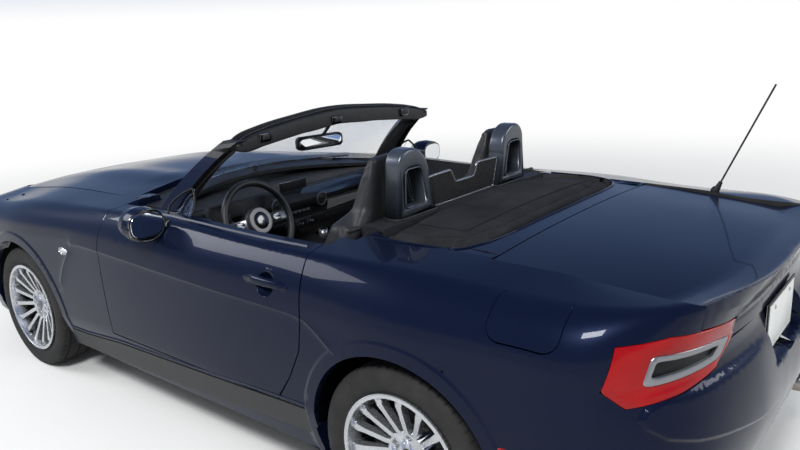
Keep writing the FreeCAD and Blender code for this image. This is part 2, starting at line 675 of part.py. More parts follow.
def tail_top_wire(y, front_height, crease_height):
    edge_x, edge_z = level_x(5, y)
    under_x, under_z = level_x(4, y)
    face_x, face_z = level_x(3, y)
    share = (under_z - LID_LOW) / (under_z - face_z)
    low_x = under_x + (face_x - under_x) * share
    start = -1200
    crease_x = edge_x + CREASE_AHEAD
    middle_x = (start + crease_x) / 2
    middle_z = (front_height + crease_height) / 2 + 7
    outer = [(start, y, front_height), (middle_x, y, middle_z), (crease_x, y, crease_height),
             (edge_x, y, edge_z), (under_x, y, under_z), (low_x, y, LID_LOW)]
    inner = [(low_x + skin, y, LID_LOW), (under_x + skin, y, under_z - 10), (crease_x, y, crease_height - skin),
             (middle_x, y, middle_z - skin), (start, y, front_height - skin)]
    return Part.Wire([arc_edge(outer[0], outer[1], outer[2]), line_edge(outer[2], outer[3]),
                      line_edge(outer[3], outer[4]), line_edge(outer[4], outer[5]),
                      line_edge(outer[5], inner[0]), line_edge(inner[0], inner[1]),
                      line_edge(inner[1], inner[2]), arc_edge(inner[2], inner[3], inner[4]),
                      line_edge(inner[4], outer[0])])


rows = [(-row[0],) + row[1:] for row in TAIL_TOP_ROWS[:0:-1]] + list(TAIL_TOP_ROWS)
tail_top = loft([tail_top_wire(*row) for row in rows])
lamp_clear = corner_prism(grown(TAILLAMP, gap + 1), 35, -1, 1000, 2400)
lid = tail_top.common(lid_space(0)).cut(lamp_clear).cut(mirrored(lamp_clear))
sub_part("trunk_lid", max(lid.Solids, key=lambda solid: solid.Volume))
deck = tail_top.common(box(lid_front + gap, -1060, -TOP_HALF - 4, TOP_HALF + 4, 600, 1000))
deck = deck.cut(well_cut)
quarters = both(quarter).fuse(deck)

# Shut line of the fuel flap on the left shoulder: a rounded square groove
FLAP_PLACE = Vector(-1564, 776, 824)
FLAP_UP = Vector(0, -70, 117).normalize()
FLAP = (206, 168, 46)   # length, height, corner radius
FLAP_GAP = 4


def flap_block(grow):
    block = box(-FLAP[0] / 2 - grow, FLAP[0] / 2 + grow, -FLAP[1] / 2 - grow, FLAP[1] / 2 + grow, -20, 60)
    upright = [edge for edge in block.Edges if abs(edge.Vertexes[0].Z - edge.Vertexes[-1].Z) > 1]
    block = block.makeFillet(FLAP[2] + grow, upright)
    turn = FreeCAD.Rotation(FORWARD * -1, FLAP_UP, (FORWARD * -1).cross(FLAP_UP), "XYZ")
    block.Placement = FreeCAD.Placement(FLAP_PLACE, turn)
    return block


sub_part("rear_quarters", quarters.cut(flap_block(0).cut(flap_block(-FLAP_GAP))))

# Windscreen glass and its frame
header = size("header_height")
glass = size("glass")
GLASS_LOW = ((170, 622, 880), (440, 0, 914))
GLASS_HIGH = ((-200, 542, header - 12), (-169, 0, header + 6))


def glass_section(corner, middle, thick, drop=0):
    """A flat curved slice of the glass, thick and drop measured square to the screen."""
    slope = Vector(middle[0] - corner[0], 0, middle[2] - corner[2]).normalize()
    lie = Vector(GLASS_HIGH[1][0] - GLASS_LOW[1][0], 0, GLASS_HIGH[1][2] - GLASS_LOW[1][2]).normalize()
    shift = slope * (-1 / slope.cross(lie).Length)
    ends = [Vector(corner[0], -corner[1], corner[2]), Vector(*middle), Vector(*corner)]
    top = [point + shift * drop for point in ends]
    bottom = [point + shift * (drop + thick) for point in ends]
    return Part.Wire([Part.Arc(*top).toShape(), Part.makeLine(top[2], bottom[2]),
                      Part.Arc(*bottom[::-1]).toShape(), Part.makeLine(bottom[0], top[0])])


screen = loft([glass_section(*GLASS_LOW, glass), glass_section(*GLASS_HIGH, glass)], True)

# Each pillar section: height, rear x, front x, inner y, outer y
PILLAR = ((866, 62, 165, 632, 697), (1000, -50, 42, 592, 656), (header, -246, -166, 540, 590))


def level_rectangle(z, x0, x1, y0, y1):
    ring = [Vector(x0, y0, z), Vector(x1, y0, z), Vector(x1, y1, z), Vector(x0, y1, z)]
    return Part.makePolygon(ring + ring[:1])


pillar = loft([level_rectangle(*row) for row in PILLAR])
# Header sections. Columns: distance from the middle, rear x, height of its top, depth
HEADER_ROWS = ((584, -242, header - 6, 30), (540, -236, header + 6, 52), (450, -226, header + 24, 62),
               (230, -212, header + 47, 66), (0, -206, header + 60, 66))
HEADER_LONG = 70


def header_wire(y, back, high, deep):
    ring = [Vector(back, y, high - deep), Vector(back, y, high - 8), Vector(back + HEADER_LONG, y, high),
            Vector(back + HEADER_LONG + 26, y, high - 26), Vector(back + HEADER_LONG - 4, y, high - deep)]
    return Part.makePolygon(ring + ring[:1])


header_left = [header_wire(*row) for row in HEADER_ROWS]
header_right = [header_wire(-y, *row) for y, *row in HEADER_ROWS[:-1]]
header_bar = loft(header_left + header_right[::-1])
glass_cut = loft([glass_section(*GLASS_LOW, glass + 2 * seam, -seam),
                  glass_section(*GLASS_HIGH, glass + 2 * seam, -seam)], True)
frame = header_bar.fuse(pillar).fuse(mirrored(pillar)).cut(glass_cut)
sub_part("windscreen_frame", frame)
sub_part("windscreen", screen.cut(header_bar).cut(pillar).cut(mirrored(pillar)))

# Floor tub: floor, tunnel, inner sills, firewall, hinge pillars, bulkhead, trunk and rails
floor_low = size("floor_height")
floor_top = floor_low + size("floor_wall")
tub_half = size("cabin_half_width")
TUNNEL_HALF = 105
TUNNEL_TOP = 420
FIREWALL = (424, 446)
TRUNK_FLOOR = 330
TRUNK_HALF = 452
TRUNK = (-1860, -1345)
WELL_TRAY = 739
WALL = 14
REAR_RAIL = 276
FRONT_RAIL = 290
wing = INNER - seam
trunk_front = BULKHEAD[0] - seam
pillar_foot = PILLAR[0]


floor = box(BULKHEAD[0], FIREWALL[1], -wing, wing, floor_low, floor_top)
floor = floor.fuse(box(BULKHEAD[0], door_front - seam, -tub_half, tub_half, floor_low, floor_top))
tunnel = box(BULKHEAD[0], FIREWALL[1], -TUNNEL_HALF, TUNNEL_HALF, floor_low, TUNNEL_TOP)
tunnel_room = box(BULKHEAD[0] - 10, FIREWALL[1] + 10, -TUNNEL_HALF + WALL, TUNNEL_HALF - WALL,
                  floor_low - 10, TUNNEL_TOP - WALL)
inner_sill = box(BULKHEAD[0], door_front - seam, tub_half - 70, door_inner + 40 - seam,
                 floor_low, door_bottom - 2 * gap)
hinge_pillar = box(door_front - 90, door_front - seam, pillar_foot[3], pillar_foot[4], floor_low, 836)
pillar_head = side_prism(((pillar_foot[1], 700), (pillar_foot[1], 866 - seam), (pillar_foot[2], 866 - seam),
                          (pillar_foot[2], 836), (door_front - seam, 836), (door_front - seam, 600)),
                         pillar_foot[3], pillar_foot[4])
scuttle = box(150, door_front - seam, -pillar_foot[3] - 1, pillar_foot[3] + 1, 820, 836)
scuttle = scuttle.fuse(box(door_front - 5, FIREWALL[1], -wing, wing, 820, 836))
seal = box(door_front - 60, door_front - 45, pillar_foot[4] - 1, door_inner - seam, door_bottom + 20, 820)
front_rail = box(FIREWALL[1] + seam, front_axle + 640, 400, 465, FRONT_RAIL, FRONT_RAIL + 110)
rear_rail = box(-1480, trunk_front, 400, 465, REAR_RAIL, TRUNK_FLOOR - WALL + 1)
rear_rail = rear_rail.cut(box(rear_axle - 40, rear_axle + 40, 390, 475, 0, TRUNK_FLOOR - WALL))
firewall = box(FIREWALL[0], FIREWALL[1], -wing, wing, floor_low, 905)
cowl_over = loft([top_section(x, middle, edge, HOOD_EDGE_LINE, 40 + seam - 200, 200) for x, middle, edge in HOOD_ROWS[0:3]])
firewall = firewall.cut(cowl_over).cut(hood_outline(gap, 600, 1000))
firewall = min(firewall.Solids, key=lambda solid: solid.BoundBox.ZMin)
bulkhead = box(BULKHEAD[0], BULKHEAD[1], -wing, wing, floor_low, 862)
trunk = box(TRUNK[0] - WALL, trunk_front, -TRUNK_HALF - WALL, TRUNK_HALF + WALL, TRUNK_FLOOR - WALL, 700)
trunk = trunk.fuse(box(TRUNK[0] - WALL, TRUNK[1] + WALL, -TRUNK_HALF - WALL, TRUNK_HALF + WALL,
                       690, LID_LOW - 30))
trunk = trunk.cut(box(TRUNK[0], TRUNK[1], -TRUNK_HALF, TRUNK_HALF, TRUNK_FLOOR, 1000))
trunk = trunk.cut(box(TRUNK[1] + WALL, trunk_front - WALL, -TRUNK_HALF, TRUNK_HALF, TRUNK_FLOOR, 686))
tray = box(-1262, trunk_front, -wing, wing, WELL_TRAY - WALL, WELL_TRAY - seam)
tray = tray.fuse(box(-1300, -1286, -wing, wing, 690, 840)).fuse(box(-1290, -1250, -wing, wing, 700, WELL_TRAY - seam))
tray = tray.fuse(box(-1300, TRUNK[1] + WALL, -TRUNK_HALF - WALL, TRUNK_HALF + WALL, 686, 700))
post = box(-1420, -1390, TRUNK_HALF, TRUNK_HALF + WALL, 600, 1000).cut(tail_top.translated(Vector(0, 0, -seam)))
post = min(post.Solids, key=lambda solid: solid.BoundBox.ZMin)
radiator = box(front_axle + 639, front_axle + 664, -470, 470, 240, 600)
hood_post = box(front_axle + 640, front_axle + 660, 230, 270, 590, 1000)
hood_post = hood_post.cut(hood_sheet.translated(Vector(0, 0, -seam)))
hood_post = min(hood_post.Solids, key=lambda solid: solid.BoundBox.ZMin)
shelf_front = -795
HOOP_FOOT = 905
shelf = box(TOP_FRONT + 1, shelf_front, -wing, wing, 850, HOOP_FOOT - seam)
tub = floor.fuse(tunnel).fuse(both(inner_sill)).fuse(both(hinge_pillar)).fuse(both(pillar_head)).fuse(scuttle)
tub = tub.fuse(both(seal)).fuse(firewall).fuse(bulkhead).fuse(shelf).cut(tunnel_room)
wheels_room = front_space.fuse(mirrored(front_space)).fuse(rear_space).fuse(mirrored(rear_space))
sub_part("front_rails", both(front_rail).fuse(radiator).fuse(both(hood_post)).cut(wheels_room))
sub_part("trunk_tub", trunk.fuse(tray).fuse(both(rear_rail)).fuse(both(post)).cut(wheels_room))
tub = tub.cut(wheels_room)
for side in (-1, 1):
    for rail in (-150, 150):
        y = side * size("seat_offset") + rail
        tub = tub.fuse(box(-560, -80, y - 16, y + 16, floor_top, 300 - seam))
sub_part("floor_tub", tub)

# Stowed soft top: one closed solid, crowned across
top_crown = loft([top_section(x, middle, edge, 700, 0, 300)
                  for x, middle, edge in ((-860, 916, 862), (-1060, 930, 872), (-1280, 916, 870))])
sub_part("stowed_soft_top", top_crown.common(top_outline(0, WELL_TRAY, 1000)))

# Dashboard: a side profile drawn across the cabin, with the cowl of the instruments
dash = doc.addObject("PartDesign::Body", "dashboard_form")
dash.Label = "dashboard_pad_body"
DASH_PROFILE = (("345", "640"), ("345", "812"), ("150", "819.7"), ("120", "840"), ("95", "834"), ("58", "790"),
                ("80", "700"), ("120", "640"), ("215", "560"), ("300", "560"))
dash_sketch = outline_sketch(dash, "dashboard_profile", "XZ_Plane", DASH_PROFILE)
straight(dash, "dashboard_pad", dash_sketch, "2 * (sizes.cabin_half_width - 58.5)", both_ways=True)
hood_profile = (("146", "819"), ("60", "868"), ("40", "858"), ("60", "760"), ("146", "760"))
binnacle_sketch = outline_sketch(dash, "binnacle_profile", "XZ_Plane", hood_profile, "-sizes.seat_offset")
straight(dash, "binnacle_pad", binnacle_sketch, "330", both_ways=True)

# Centre console over the tunnel with its gear lever
console = doc.addObject("PartDesign::Body", "centre_console")
console.Label = "centre_console"
CONSOLE = (("200", "420.3"), ("212", "555"), ("112", "600"), ("-40", "545"), ("-420", "530"), ("-470", "575"),
           ("-800", "575"), ("-800", "420.3"))
console_sketch = outline_sketch(console, "console_profile", "XZ_Plane", CONSOLE)
straight(console, "console_pad", console_sketch, "210", both_ways=True)
lever_sketch = circle_sketch(console, "lever_circle", "XY_Plane", ("-60", "0"), "7", "530")
straight(console, "lever_pad", lever_sketch, "100")
knob_sketch = circle_sketch(console, "knob_circle", "XY_Plane", ("-60", "0"), "22", "620")
straight(console, "knob_pad", knob_sketch, "44")
nodes["centre_console"] = console

# Seats: a cushion with raised sides and a leaning back that narrows to its head restraint
seat_half = size("seat_width") / 2
# Cushion sections. Columns: x, low, height of the middle, height of the sides, inset from the seat's half width
CUSHION = ((-690, 320, 388, 392, 30), (-560, 300, 380, 430, 8), (-300, 300, 400, 454, 0), (-100, 300, 428, 452, 8),
           (-34, 318, 408, 412, 30))
# Back sections. Columns: height, rear x, front x, depth of the dish between the sides, inset
BACK = ((385, -690, -560, 22, 12), (560, -742, -600, 34, 8), (760, -780, -640, 34, 22), (890, -789, -670, 22, 44),
        (945, -789, -690, 4, 112), (1050, -789, -704, -14, 130), (1122, -780, -726, -10, 156))


def cushion_wire(x, low, middle, side, inset):
    half = seat_half - inset
    shoulder = half - 60
    return Part.Wire([line_edge((x, -half + 24, low), (x, half - 24, low)),
                      line_edge((x, half - 24, low), (x, half, side - 40)),
                      arc_edge((x, half, side - 40), (x, half - 22, side - 4), (x, shoulder, side - 8)),
                      arc_edge((x, shoulder, side - 8), (x, 0, middle), (x, -shoulder, side - 8)),
                      arc_edge((x, -shoulder, side - 8), (x, -half + 22, side - 4), (x, -half, side - 40)),
                      line_edge((x, -half, side - 40), (x, -half + 24, low))])


def back_wire(z, rear, front, dish, inset):
    half = seat_half - inset
    middle_x = (rear + front) / 2
    shoulder = half - 42
    return Part.Wire([line_edge((rear, -shoulder, z), (rear, shoulder, z)),
                      arc_edge((rear, shoulder, z), (rear + 0.16 * (front - rear), half - 12, z), (middle_x, half, z)),
                      arc_edge((middle_x, half, z), (front + dish - 14, half - 10, z), (front + dish, shoulder, z)),
                      arc_edge((front + dish, shoulder, z), (front, 0, z), (front + dish, -shoulder, z)),
                      arc_edge((front + dish, -shoulder, z), (front + dish - 14, 10 - half, z), (middle_x, -half, z)),
                      arc_edge((middle_x, -half, z), (rear + 0.16 * (front - rear), 12 - half, z),
                               (rear, -shoulder, z))])


seat_form = loft([cushion_wire(*row) for row in CUSHION], True)
seat_form = seat_form.fuse(loft([back_wire(*row) for row in BACK], True))
for side, sign in (("left", 1), ("right", -1)):
    sub_part(side + "_seat", seat_form.translated(Vector(0, sign * size("seat_offset"), 0)))

# Roll hoops behind the seats and the wind deflector between them
hoop_top = size("hoop_top")
HOOP_REAR = -870
HOOP_FEET = (205, 432)   # inner and outer side of one foot
HOOP_EDGE = 13


def hoop_face(steps):
    """An outline in the hoop's plane from corners (y, z) and arcs of three points."""
    edges = []
    last = steps[-1][-1]
    for step in steps:
        edges.append(line_edge((HOOP_REAR,) + last, (HOOP_REAR,) + step[0]))
        if len(step) == 3:
            edges.append(arc_edge(*[(HOOP_REAR,) + point for point in step]))
        last = step[-1]
    return Part.Face(Part.Wire(edges))


HOOP = (((HOOP_FEET[1], HOOP_FOOT),), ((HOOP_FEET[0], HOOP_FOOT),),
        ((248, hoop_top - 113), (277, hoop_top - 30), (334, hoop_top)),
        ((360, hoop_top), (401, hoop_top - 19), (418, hoop_top - 65)))
HOLE = (((262, 938),), ((289, 1040), (303, 1066), (328, 1074)), ((352, 1074), (380, 1064), (391, 1038)), ((392, 938),))
hoop = hoop_face(HOOP).extrude(Vector(size("hoop_depth"), 0, 0))
hoop = hoop.cut(hoop_face(HOLE).extrude(Vector(size("hoop_depth"), 0, 0)))
outer_edges = [edge for edge in hoop.Edges
               if abs(edge.BoundBox.XMax - edge.BoundBox.XMin) < 1 and edge.BoundBox.ZMax > HOOP_FOOT + 1]
hoop = hoop.makeFillet(HOOP_EDGE, outer_edges)
sub_part("roll_hoops", both(hoop))

# Wind deflector between the hoops, notched along its top
deflector = doc.addObject("PartDesign::Body", "wind_deflector")
deflector.Label = "wind_deflector"
DEFLECTOR = (("-202", "905"), ("-236", "1019"), ("-92", "1022"), ("-62", "972"), ("62", "972"), ("92", "1022"),
             ("236", "1019"), ("202", "905"))
deflector_sketch = outline_sketch(deflector, "deflector_outline", "YZ_Plane", DEFLECTOR, "-852")
straight(deflector, "deflector_pad", deflector_sketch, "8")
nodes["wind_deflector"] = deflector

# Steering column: its axis, the fixed shroud below the dashboard, and the turning wheel
angle = math.radians(size("column_angle"))
wheel_centre = Vector(-47, size("seat_offset") - 7, 781)
to_driver = Vector(-math.cos(angle), 0, math.sin(angle))
doc.recompute()
SHAFT = 20
shroud = Part.makeCylinder(40, 190, wheel_centre - to_driver * 48, to_driver * -1)
shroud = shroud.cut(Part.makeCylinder(SHAFT + 0.5, 70, wheel_centre - to_driver * 47, to_driver * -1))
shroud = shroud.cut(dash.Shape)
shroud = max(shroud.Solids, key=lambda solid: solid.Volume)
SCREEN = (104, 116, -66, 96, 800, 878)
# Round vents and climate knobs on the dashboard's face. Columns: y, height, radius, face x, end x
DIALS = ((560, 792, 34, 52, 80), (-560, 792, 34, 52, 80), (168, 792, 33, 52, 80), (-118, 772, 33, 56, 80),
         (80, 670, 26, 68, 115), (15, 668, 26, 68, 115), (-50, 670, 26, 68, 115))
dashboard = dash.Shape.fuse(shroud).fuse(box(*SCREEN))
for y, height, radius, face_x, end_x in DIALS:
    dashboard = dashboard.fuse(Part.makeCylinder(radius, end_x - face_x, Vector(face_x, y, height), FORWARD))
sub_part("dashboard", dashboard)
grip = size("wheel_rim_grip") / 2
wheel_radius = size("wheel_rim_diameter") / 2 - grip
steering = Part.makeTorus(wheel_radius, grip, Vector(0, 0, 0), UP)
steering = steering.fuse(Part.makeCylinder(62, 34, Vector(0, 0, -34), UP))
steering = steering.fuse(Part.makeCylinder(SHAFT, 100, Vector(0, 0, -110), UP))
for degrees, wide in ((90, 44), (270, 44), (180, 34)):
    bar = box(40, wheel_radius, -wide / 2, wide / 2, -20, -6)
    bar.rotate(Vector(0, 0, 0), UP, degrees)
    steering = steering.fuse(bar)
steering.Placement = FreeCAD.Placement(wheel_centre, FreeCAD.Rotation(Vector(0, 0, 1), to_driver))
sub_part("steering_wheel", steering)

# Road wheel, drawn once about its own axle and placed four times
wheel = doc.addObject("PartDesign::Body", "road_wheel")
BEAD = "sizes.bead_diameter / 2"
FLANGE = "sizes.rim_diameter / 2"
EDGE = "sizes.rim_width / 2"
BARREL = ((f"-{EDGE}", f"{BEAD} - sizes.rim_wall"), (f"-{EDGE}", FLANGE), (f"-{EDGE} + 9", FLANGE),
          (f"-{EDGE} + 12", BEAD), (f"{EDGE} - 12", BEAD), (f"{EDGE} - 9", FLANGE), (EDGE, FLANGE),
          (EDGE, f"{BEAD} - 2"), (f"{EDGE} - 22", f"{BEAD} - 8"), (f"{EDGE} - 40", f"{BEAD} - sizes.rim_wall - 4"),
          (f"-{EDGE} + 20", f"{BEAD} - sizes.rim_wall"))
barrel_sketch = outline_sketch(wheel, "barrel_profile", "YZ_Plane", BARREL)
turned(wheel, "barrel", barrel_sketch, "H_Axis")
disc_sketch = circle_sketch(wheel, "disc_circle", "XZ_Plane", ("0", "0"), "sizes.disc_diameter / 2", "34")
straight(wheel, "disc", disc_sketch, "sizes.disc_width", reverse=True)
hat_sketch = circle_sketch(wheel, "hat_circle", "XZ_Plane", ("0", "0"), "sizes.hub_diameter / 2", "12.5")
straight(wheel, "hat", hat_sketch, "60.5", reverse=True)
SPOKE = (("-sizes.spoke_width / 2", "50"), ("-sizes.spoke_width / 2", "150"), ("-sizes.spoke_flare / 2", f"{BEAD} - 6"),
         ("sizes.spoke_flare / 2", f"{BEAD} - 6"), ("sizes.spoke_width / 2", "150"), ("sizes.spoke_width / 2", "50"))
spoke_sketch = outline_sketch(wheel, "spoke_outline", "XZ_Plane", SPOKE, "-30")
spoke = straight(wheel, "spoke", spoke_sketch, "52", reverse=True)
spokes = repeated(wheel, "spokes", spoke, barrel_sketch, "H_Axis", "sizes.spoke_count")
FACE_DISH = (("48", "0"), ("48", "70"), (f"{EDGE} - 9", f"{BEAD} - 14"), ("130", f"{BEAD} - 14"), ("130", "0"))
dish_sketch = outline_sketch(wheel, "face_dish", "YZ_Plane", FACE_DISH)
turned(wheel, "dish", dish_sketch, "H_Axis", "PartDesign::Groove")
BACK_DISH = (("20", "sizes.hub_diameter / 2 + 1"), ("26", "sizes.hub_diameter / 2 + 1"),
             (f"{EDGE} - 40", f"{BEAD} - 22"), ("20", f"{BEAD} - 22"))
back_sketch = outline_sketch(wheel, "back_dish", "YZ_Plane", BACK_DISH)
turned(wheel, "spoke_backs", back_sketch, "H_Axis", "PartDesign::Groove")
bore_sketch = circle_sketch(wheel, "bore_circle", "XZ_Plane", ("0", "0"), "sizes.hub_bore / 2", "40")
straight(wheel, "bore", bore_sketch, "78", "PartDesign::Pocket")
lug_sketch = circle_sketch(wheel, "lug_circle_sketch", "XZ_Plane", ("0", "sizes.lug_circle / 2"),
                           "sizes.lug_hole / 2", "-49")
lug = straight(wheel, "lug", lug_sketch, "28", "PartDesign::Pocket", reverse=True)
doc.recompute()
lugs = repeated(wheel, "lugs", lug, barrel_sketch, "H_Axis", "5")

tyre = doc.addObject("PartDesign::Body", "tyre")
TREAD = "sizes.tread_width / 2"
CROWN = "sizes.tyre_diameter / 2"
SIDE = "sizes.tyre_width / 2"
TYRE = ((f"-{EDGE} + 13", f"{BEAD} + 0.3"), (f"-{EDGE} + 10", f"{FLANGE} + 2"), (f"-{SIDE}", f"{BEAD} + 50"),
        (f"-{TREAD} - 6", f"{CROWN} - 9"), (f"-{TREAD} + 16", CROWN), (f"{TREAD} - 16", CROWN),
        (f"{TREAD} + 6", f"{CROWN} - 9"), (SIDE, f"{BEAD} + 50"), (f"{EDGE} - 10", f"{FLANGE} + 2"),
        (f"{EDGE} - 13", f"{BEAD} + 0.3"))
tyre_sketch = outline_sketch(tyre, "tyre_profile", "YZ_Plane", TYRE)
turned(tyre, "tyre_ring", tyre_sketch, "H_Axis")
doc.recompute()
for end, axle in (("front", front_axle), ("rear", rear_axle)):
    for side, sign in (("left", 1), ("right", -1)):
        place = FreeCAD.Placement(Vector(axle, sign * half_track, tyre_radius),
                                  FreeCAD.Rotation(UP, 0 if sign > 0 else 180))
        for piece, body in (("rim", wheel), ("tyre", tyre)):
            shape = body.Shape.copy()
            shape.Placement = place.multiply(shape.Placement)
            sub_part("%s_%s_%s" % (end, side, piece), shape)

# Knuckles: spindle, upright on its king pin, steering arm side and brake caliper
KING_IN = 58
KING_HALF = 172
BLOCK = (-84, -40)
spindle_radius = size("hub_bore") / 2 - size("spindle_play")


def knuckle(axle, steered):
    """The left carrier of one wheel, in place."""
    y0 = half_track
    z0 = tyre_radius
    body = box(axle - 45, axle + 45, y0 + BLOCK[0], y0 + BLOCK[1], z0 - 125, z0 + 120)
    body = body.fuse(cylinder_y(axle, z0, spindle_radius, y0 + BLOCK[0], y0 + 37))
    caliper_side = -1 if steered else 1
    x_out, x_in = axle + caliper_side * 160, axle + caliper_side * 100
    body = body.fuse(box(axle + caliper_side * 160, axle, y0 + BLOCK[0], y0 + BLOCK[1] - 1, z0 - 32, z0 + 32))
    caliper = box(x_out, x_in, y0 - 62, y0 + 12, z0 - 48, z0 + 48)
    slot = cylinder_y(axle, z0, size("disc_diameter") / 2 + 6, y0 - 39.5, y0 - 6.5)
    body = body.fuse(caliper.cut(slot))
    body = body.cut(cylinder_y(axle, z0, size("disc_diameter") / 2 + 6, y0 - 39.5, y0 - 6.5).cut(
        cylinder_y(axle, z0, spindle_radius, y0 - 60, y0 + 60)))
    if steered:
        body = body.fuse(Part.makeCylinder(13, 2 * KING_HALF, Vector(axle, y0 - KING_IN, z0 - KING_HALF), UP))
    return body


both_sides("knuckle", knuckle(front_axle, True))
rear_left = knuckle(rear_axle, False)
rear_carriers = rear_left.fuse(mirrored(rear_left))

# Front suspension: cross member with its lower arms, upper arms on the rails
ARM_ROOT = 330
king_y = half_track - KING_IN
PIN_PLAY = 0.5


def arm(axle, root_y, root_half, eye_half, z0, z1, steered):
    """A wishbone in plan, from its root on the car to its eye at the upright."""
    eye_y = king_y if steered else half_track + BLOCK[0] - seam
    end = eye_y + (26 if steered else 0)
    shape = plan_prism(((axle - root_half, root_y), (axle + root_half, root_y), (axle + eye_half, end),
                        (axle - eye_half, end)), z0, z1)
    window = plan_prism(((axle - root_half + 38, root_y + 30), (axle + root_half - 38, root_y + 30),
                         (axle, end - 110)), z0 - 1, z1 + 1)
    shape = shape.cut(window)
    if steered:
        shape = shape.cut(Part.makeCylinder(13 + PIN_PLAY, z1 - z0 + 2, Vector(axle, king_y, z0 - 1), UP))
    return shape


def cross_member(axle, low, high, rail):
    middle = box(axle - 60, axle + 60, -ARM_ROOT, ARM_ROOT, low, high)
    ends = both(box(axle - 180, axle + 180, 290, ARM_ROOT, low, high))
    legs = both(box(axle - 170, axle - 120, 300, 462, high - 24, rail - seam))
    legs = legs.fuse(both(box(axle + 120, axle + 170, 300, 462, high - 24, rail - seam)))
    return middle.fuse(ends).fuse(legs)


front_member = cross_member(front_axle, 134, 200, FRONT_RAIL)
front_arms = front_member.fuse(both(arm(front_axle, ARM_ROOT - 1, 150, 24, 134, 154, True)))
upper = arm(front_axle, 425, 105, 22, 448, 466, True)
upper = upper.fuse(box(front_axle - 105, front_axle + 105, 412, 460, FRONT_RAIL + 110 + seam, 466))
sub_part("front_suspension", front_arms.fuse(both(upper)))
rear_member = cross_member(rear_axle, 205, 250, REAR_RAIL)
rear_member = rear_member.fuse(both(arm(rear_axle, ARM_ROOT - 1, 150, 40, 206, 226, False)))
diff = box(rear_axle - 110, rear_axle + 110, -105, 105, 204, 300)
rear_member = rear_member.fuse(diff)
rear_member = rear_member.fuse(both(cylinder_y(rear_axle, tyre_radius - 6, 13, 100, half_track + BLOCK[0] - seam)))
sub_part("rear_suspension", rear_member.fuse(rear_carriers))

# Engine, as one plain block, and the exhaust
engine_rear = front_axle - 30 - size("engine_length")
engine = doc.addObject("Part::Box", "engine_block")
engine.Label = "engine_block"
engine.setExpression("Length", "sizes.engine_length")
engine.setExpression("Width", "sizes.engine_width")
engine.setExpression("Height", "sizes.engine_height")
engine.Placement = FreeCAD.Placement(Vector(engine_rear, -size("engine_width") / 2, 200 + seam), FreeCAD.Rotation())
nodes["engine_block"] = engine
PIPE_Z = 172
pipe = Part.makeCylinder(24, 2300, Vector(620, 0, PIPE_Z), FORWARD * -1)
silencer = box(-1860, -1660, -330, 330, 196, 292)
silencer = silencer.makeFillet(34, [edge for edge in silencer.Edges if abs(edge.tangentAt(0).y) > 0.9])
pipe = pipe.fuse(Part.makeCylinder(24, 60, Vector(-1668, 0, PIPE_Z), UP))
pipe = pipe.fuse(box(rear_axle - 20, rear_axle + 20, -16, 16, PIPE_Z, 204 - seam))
tails = both(box(-1800, -1760, 320, TAIL_PIPE[0] + 20, 224, 262))
tails = tails.fuse(both(Part.makeCylinder(34, 220, Vector(-1770, TAIL_PIPE[0], 240), FORWARD * -1)))
exhaust = pipe.fuse(silencer).fuse(tails)
exhaust = exhaust.cut(both(Part.makeCylinder(30, 150, Vector(-1850, TAIL_PIPE[0], 240), FORWARD * -1)))
sub_part("exhaust", exhaust)

# Door mirrors, each a rounded pod on a foot at the belt
# Pod sections. Columns: x, inner and outer side, low, high
POD = ((-48, 800, 950, 822, 944), (0, 798, 954, 818, 948), (34, 803, 947, 825, 943),
       (62, 820, 928, 841, 930), (84, 850, 900, 866, 911))
pod = loft([oval_wire(*row) for row in POD], True)
pod = pod.cut(loft([oval_wire(-50, 807, 943, 829, 937), oval_wire(-40, 807, 943, 829, 937)], True))
foot = loft([level_rectangle(860, -46, 22, 770, 812), level_rectangle(884, -34, 14, 772, 830)], True)
mirror = pod.fuse(foot).cut(door)
mirror_body = max(mirror.Solids, key=lambda solid: solid.Volume)
both_sides("door_mirror", mirror_body)

# Fixed quarter lights ahead of the door windows
VENT = ((56, 868, 712), (-92, 868, 738), (-52, 984, 668))


def vent_wire(inset):
    ring = [Vector(x, y - inset, z) for x, z, y in VENT]
    return Part.makePolygon(ring + ring[:1])


vent = loft([vent_wire(0), vent_wire(12)], True)
vent = vent.cut(door.translated(Vector(0, 0, seam))).cut(door)
vent = max(vent.Solids, key=lambda solid: solid.Volume)
both_sides("quarter_light", vent)

# Antenna mast on the right rear quarter, leaning back
ANTENNA_FOOT = Vector(-1600, -612, 874)
ANTENNA_TIP = Vector(-1781, -622, 1290)
lean = ANTENNA_TIP - ANTENNA_FOOT
mast = Part.makeCylinder(size("antenna_diameter") / 2, lean.Length, ANTENNA_FOOT, lean)
mast = mast.fuse(Part.makeCone(17, 7, 62, ANTENNA_FOOT - lean * (12 / lean.Length), lean))
mast = mast.cut(mirrored(quarter).translated(Vector(0, 0, seam)))
sub_part("antenna", max(mast.Solids, key=lambda solid: solid.Volume))

# Interior mirror under the header, and the wipers on the cowl
MIRROR_PLACE = Vector(-112, 35, 1079)
MIRROR_TURN = -10
mirror_plate = box(-12, 12, -118, 118, -29, 29)
corners = [edge for edge in mirror_plate.Edges if abs(edge.Vertexes[0].X - edge.Vertexes[-1].X) > 1]
mirror_plate = mirror_plate.makeFillet(20, corners)
mirror_plate.Placement = FreeCAD.Placement(MIRROR_PLACE, FreeCAD.Rotation(UP, MIRROR_TURN))
stalk_root = MIRROR_PLACE + Vector(6, -12, 6)
stalk_way = Vector(-66, -16, 84)
stalk = Part.makeCylinder(7, stalk_way.Length, stalk_root, stalk_way)
cabin_mirror = mirror_plate.fuse(stalk)
cabin_mirror = cabin_mirror.cut(header_bar).cut(header_bar.translated(Vector(0, 0, -seam)))
sub_part("cabin_mirror", min(cabin_mirror.Solids, key=lambda solid: solid.BoundBox.ZMin))


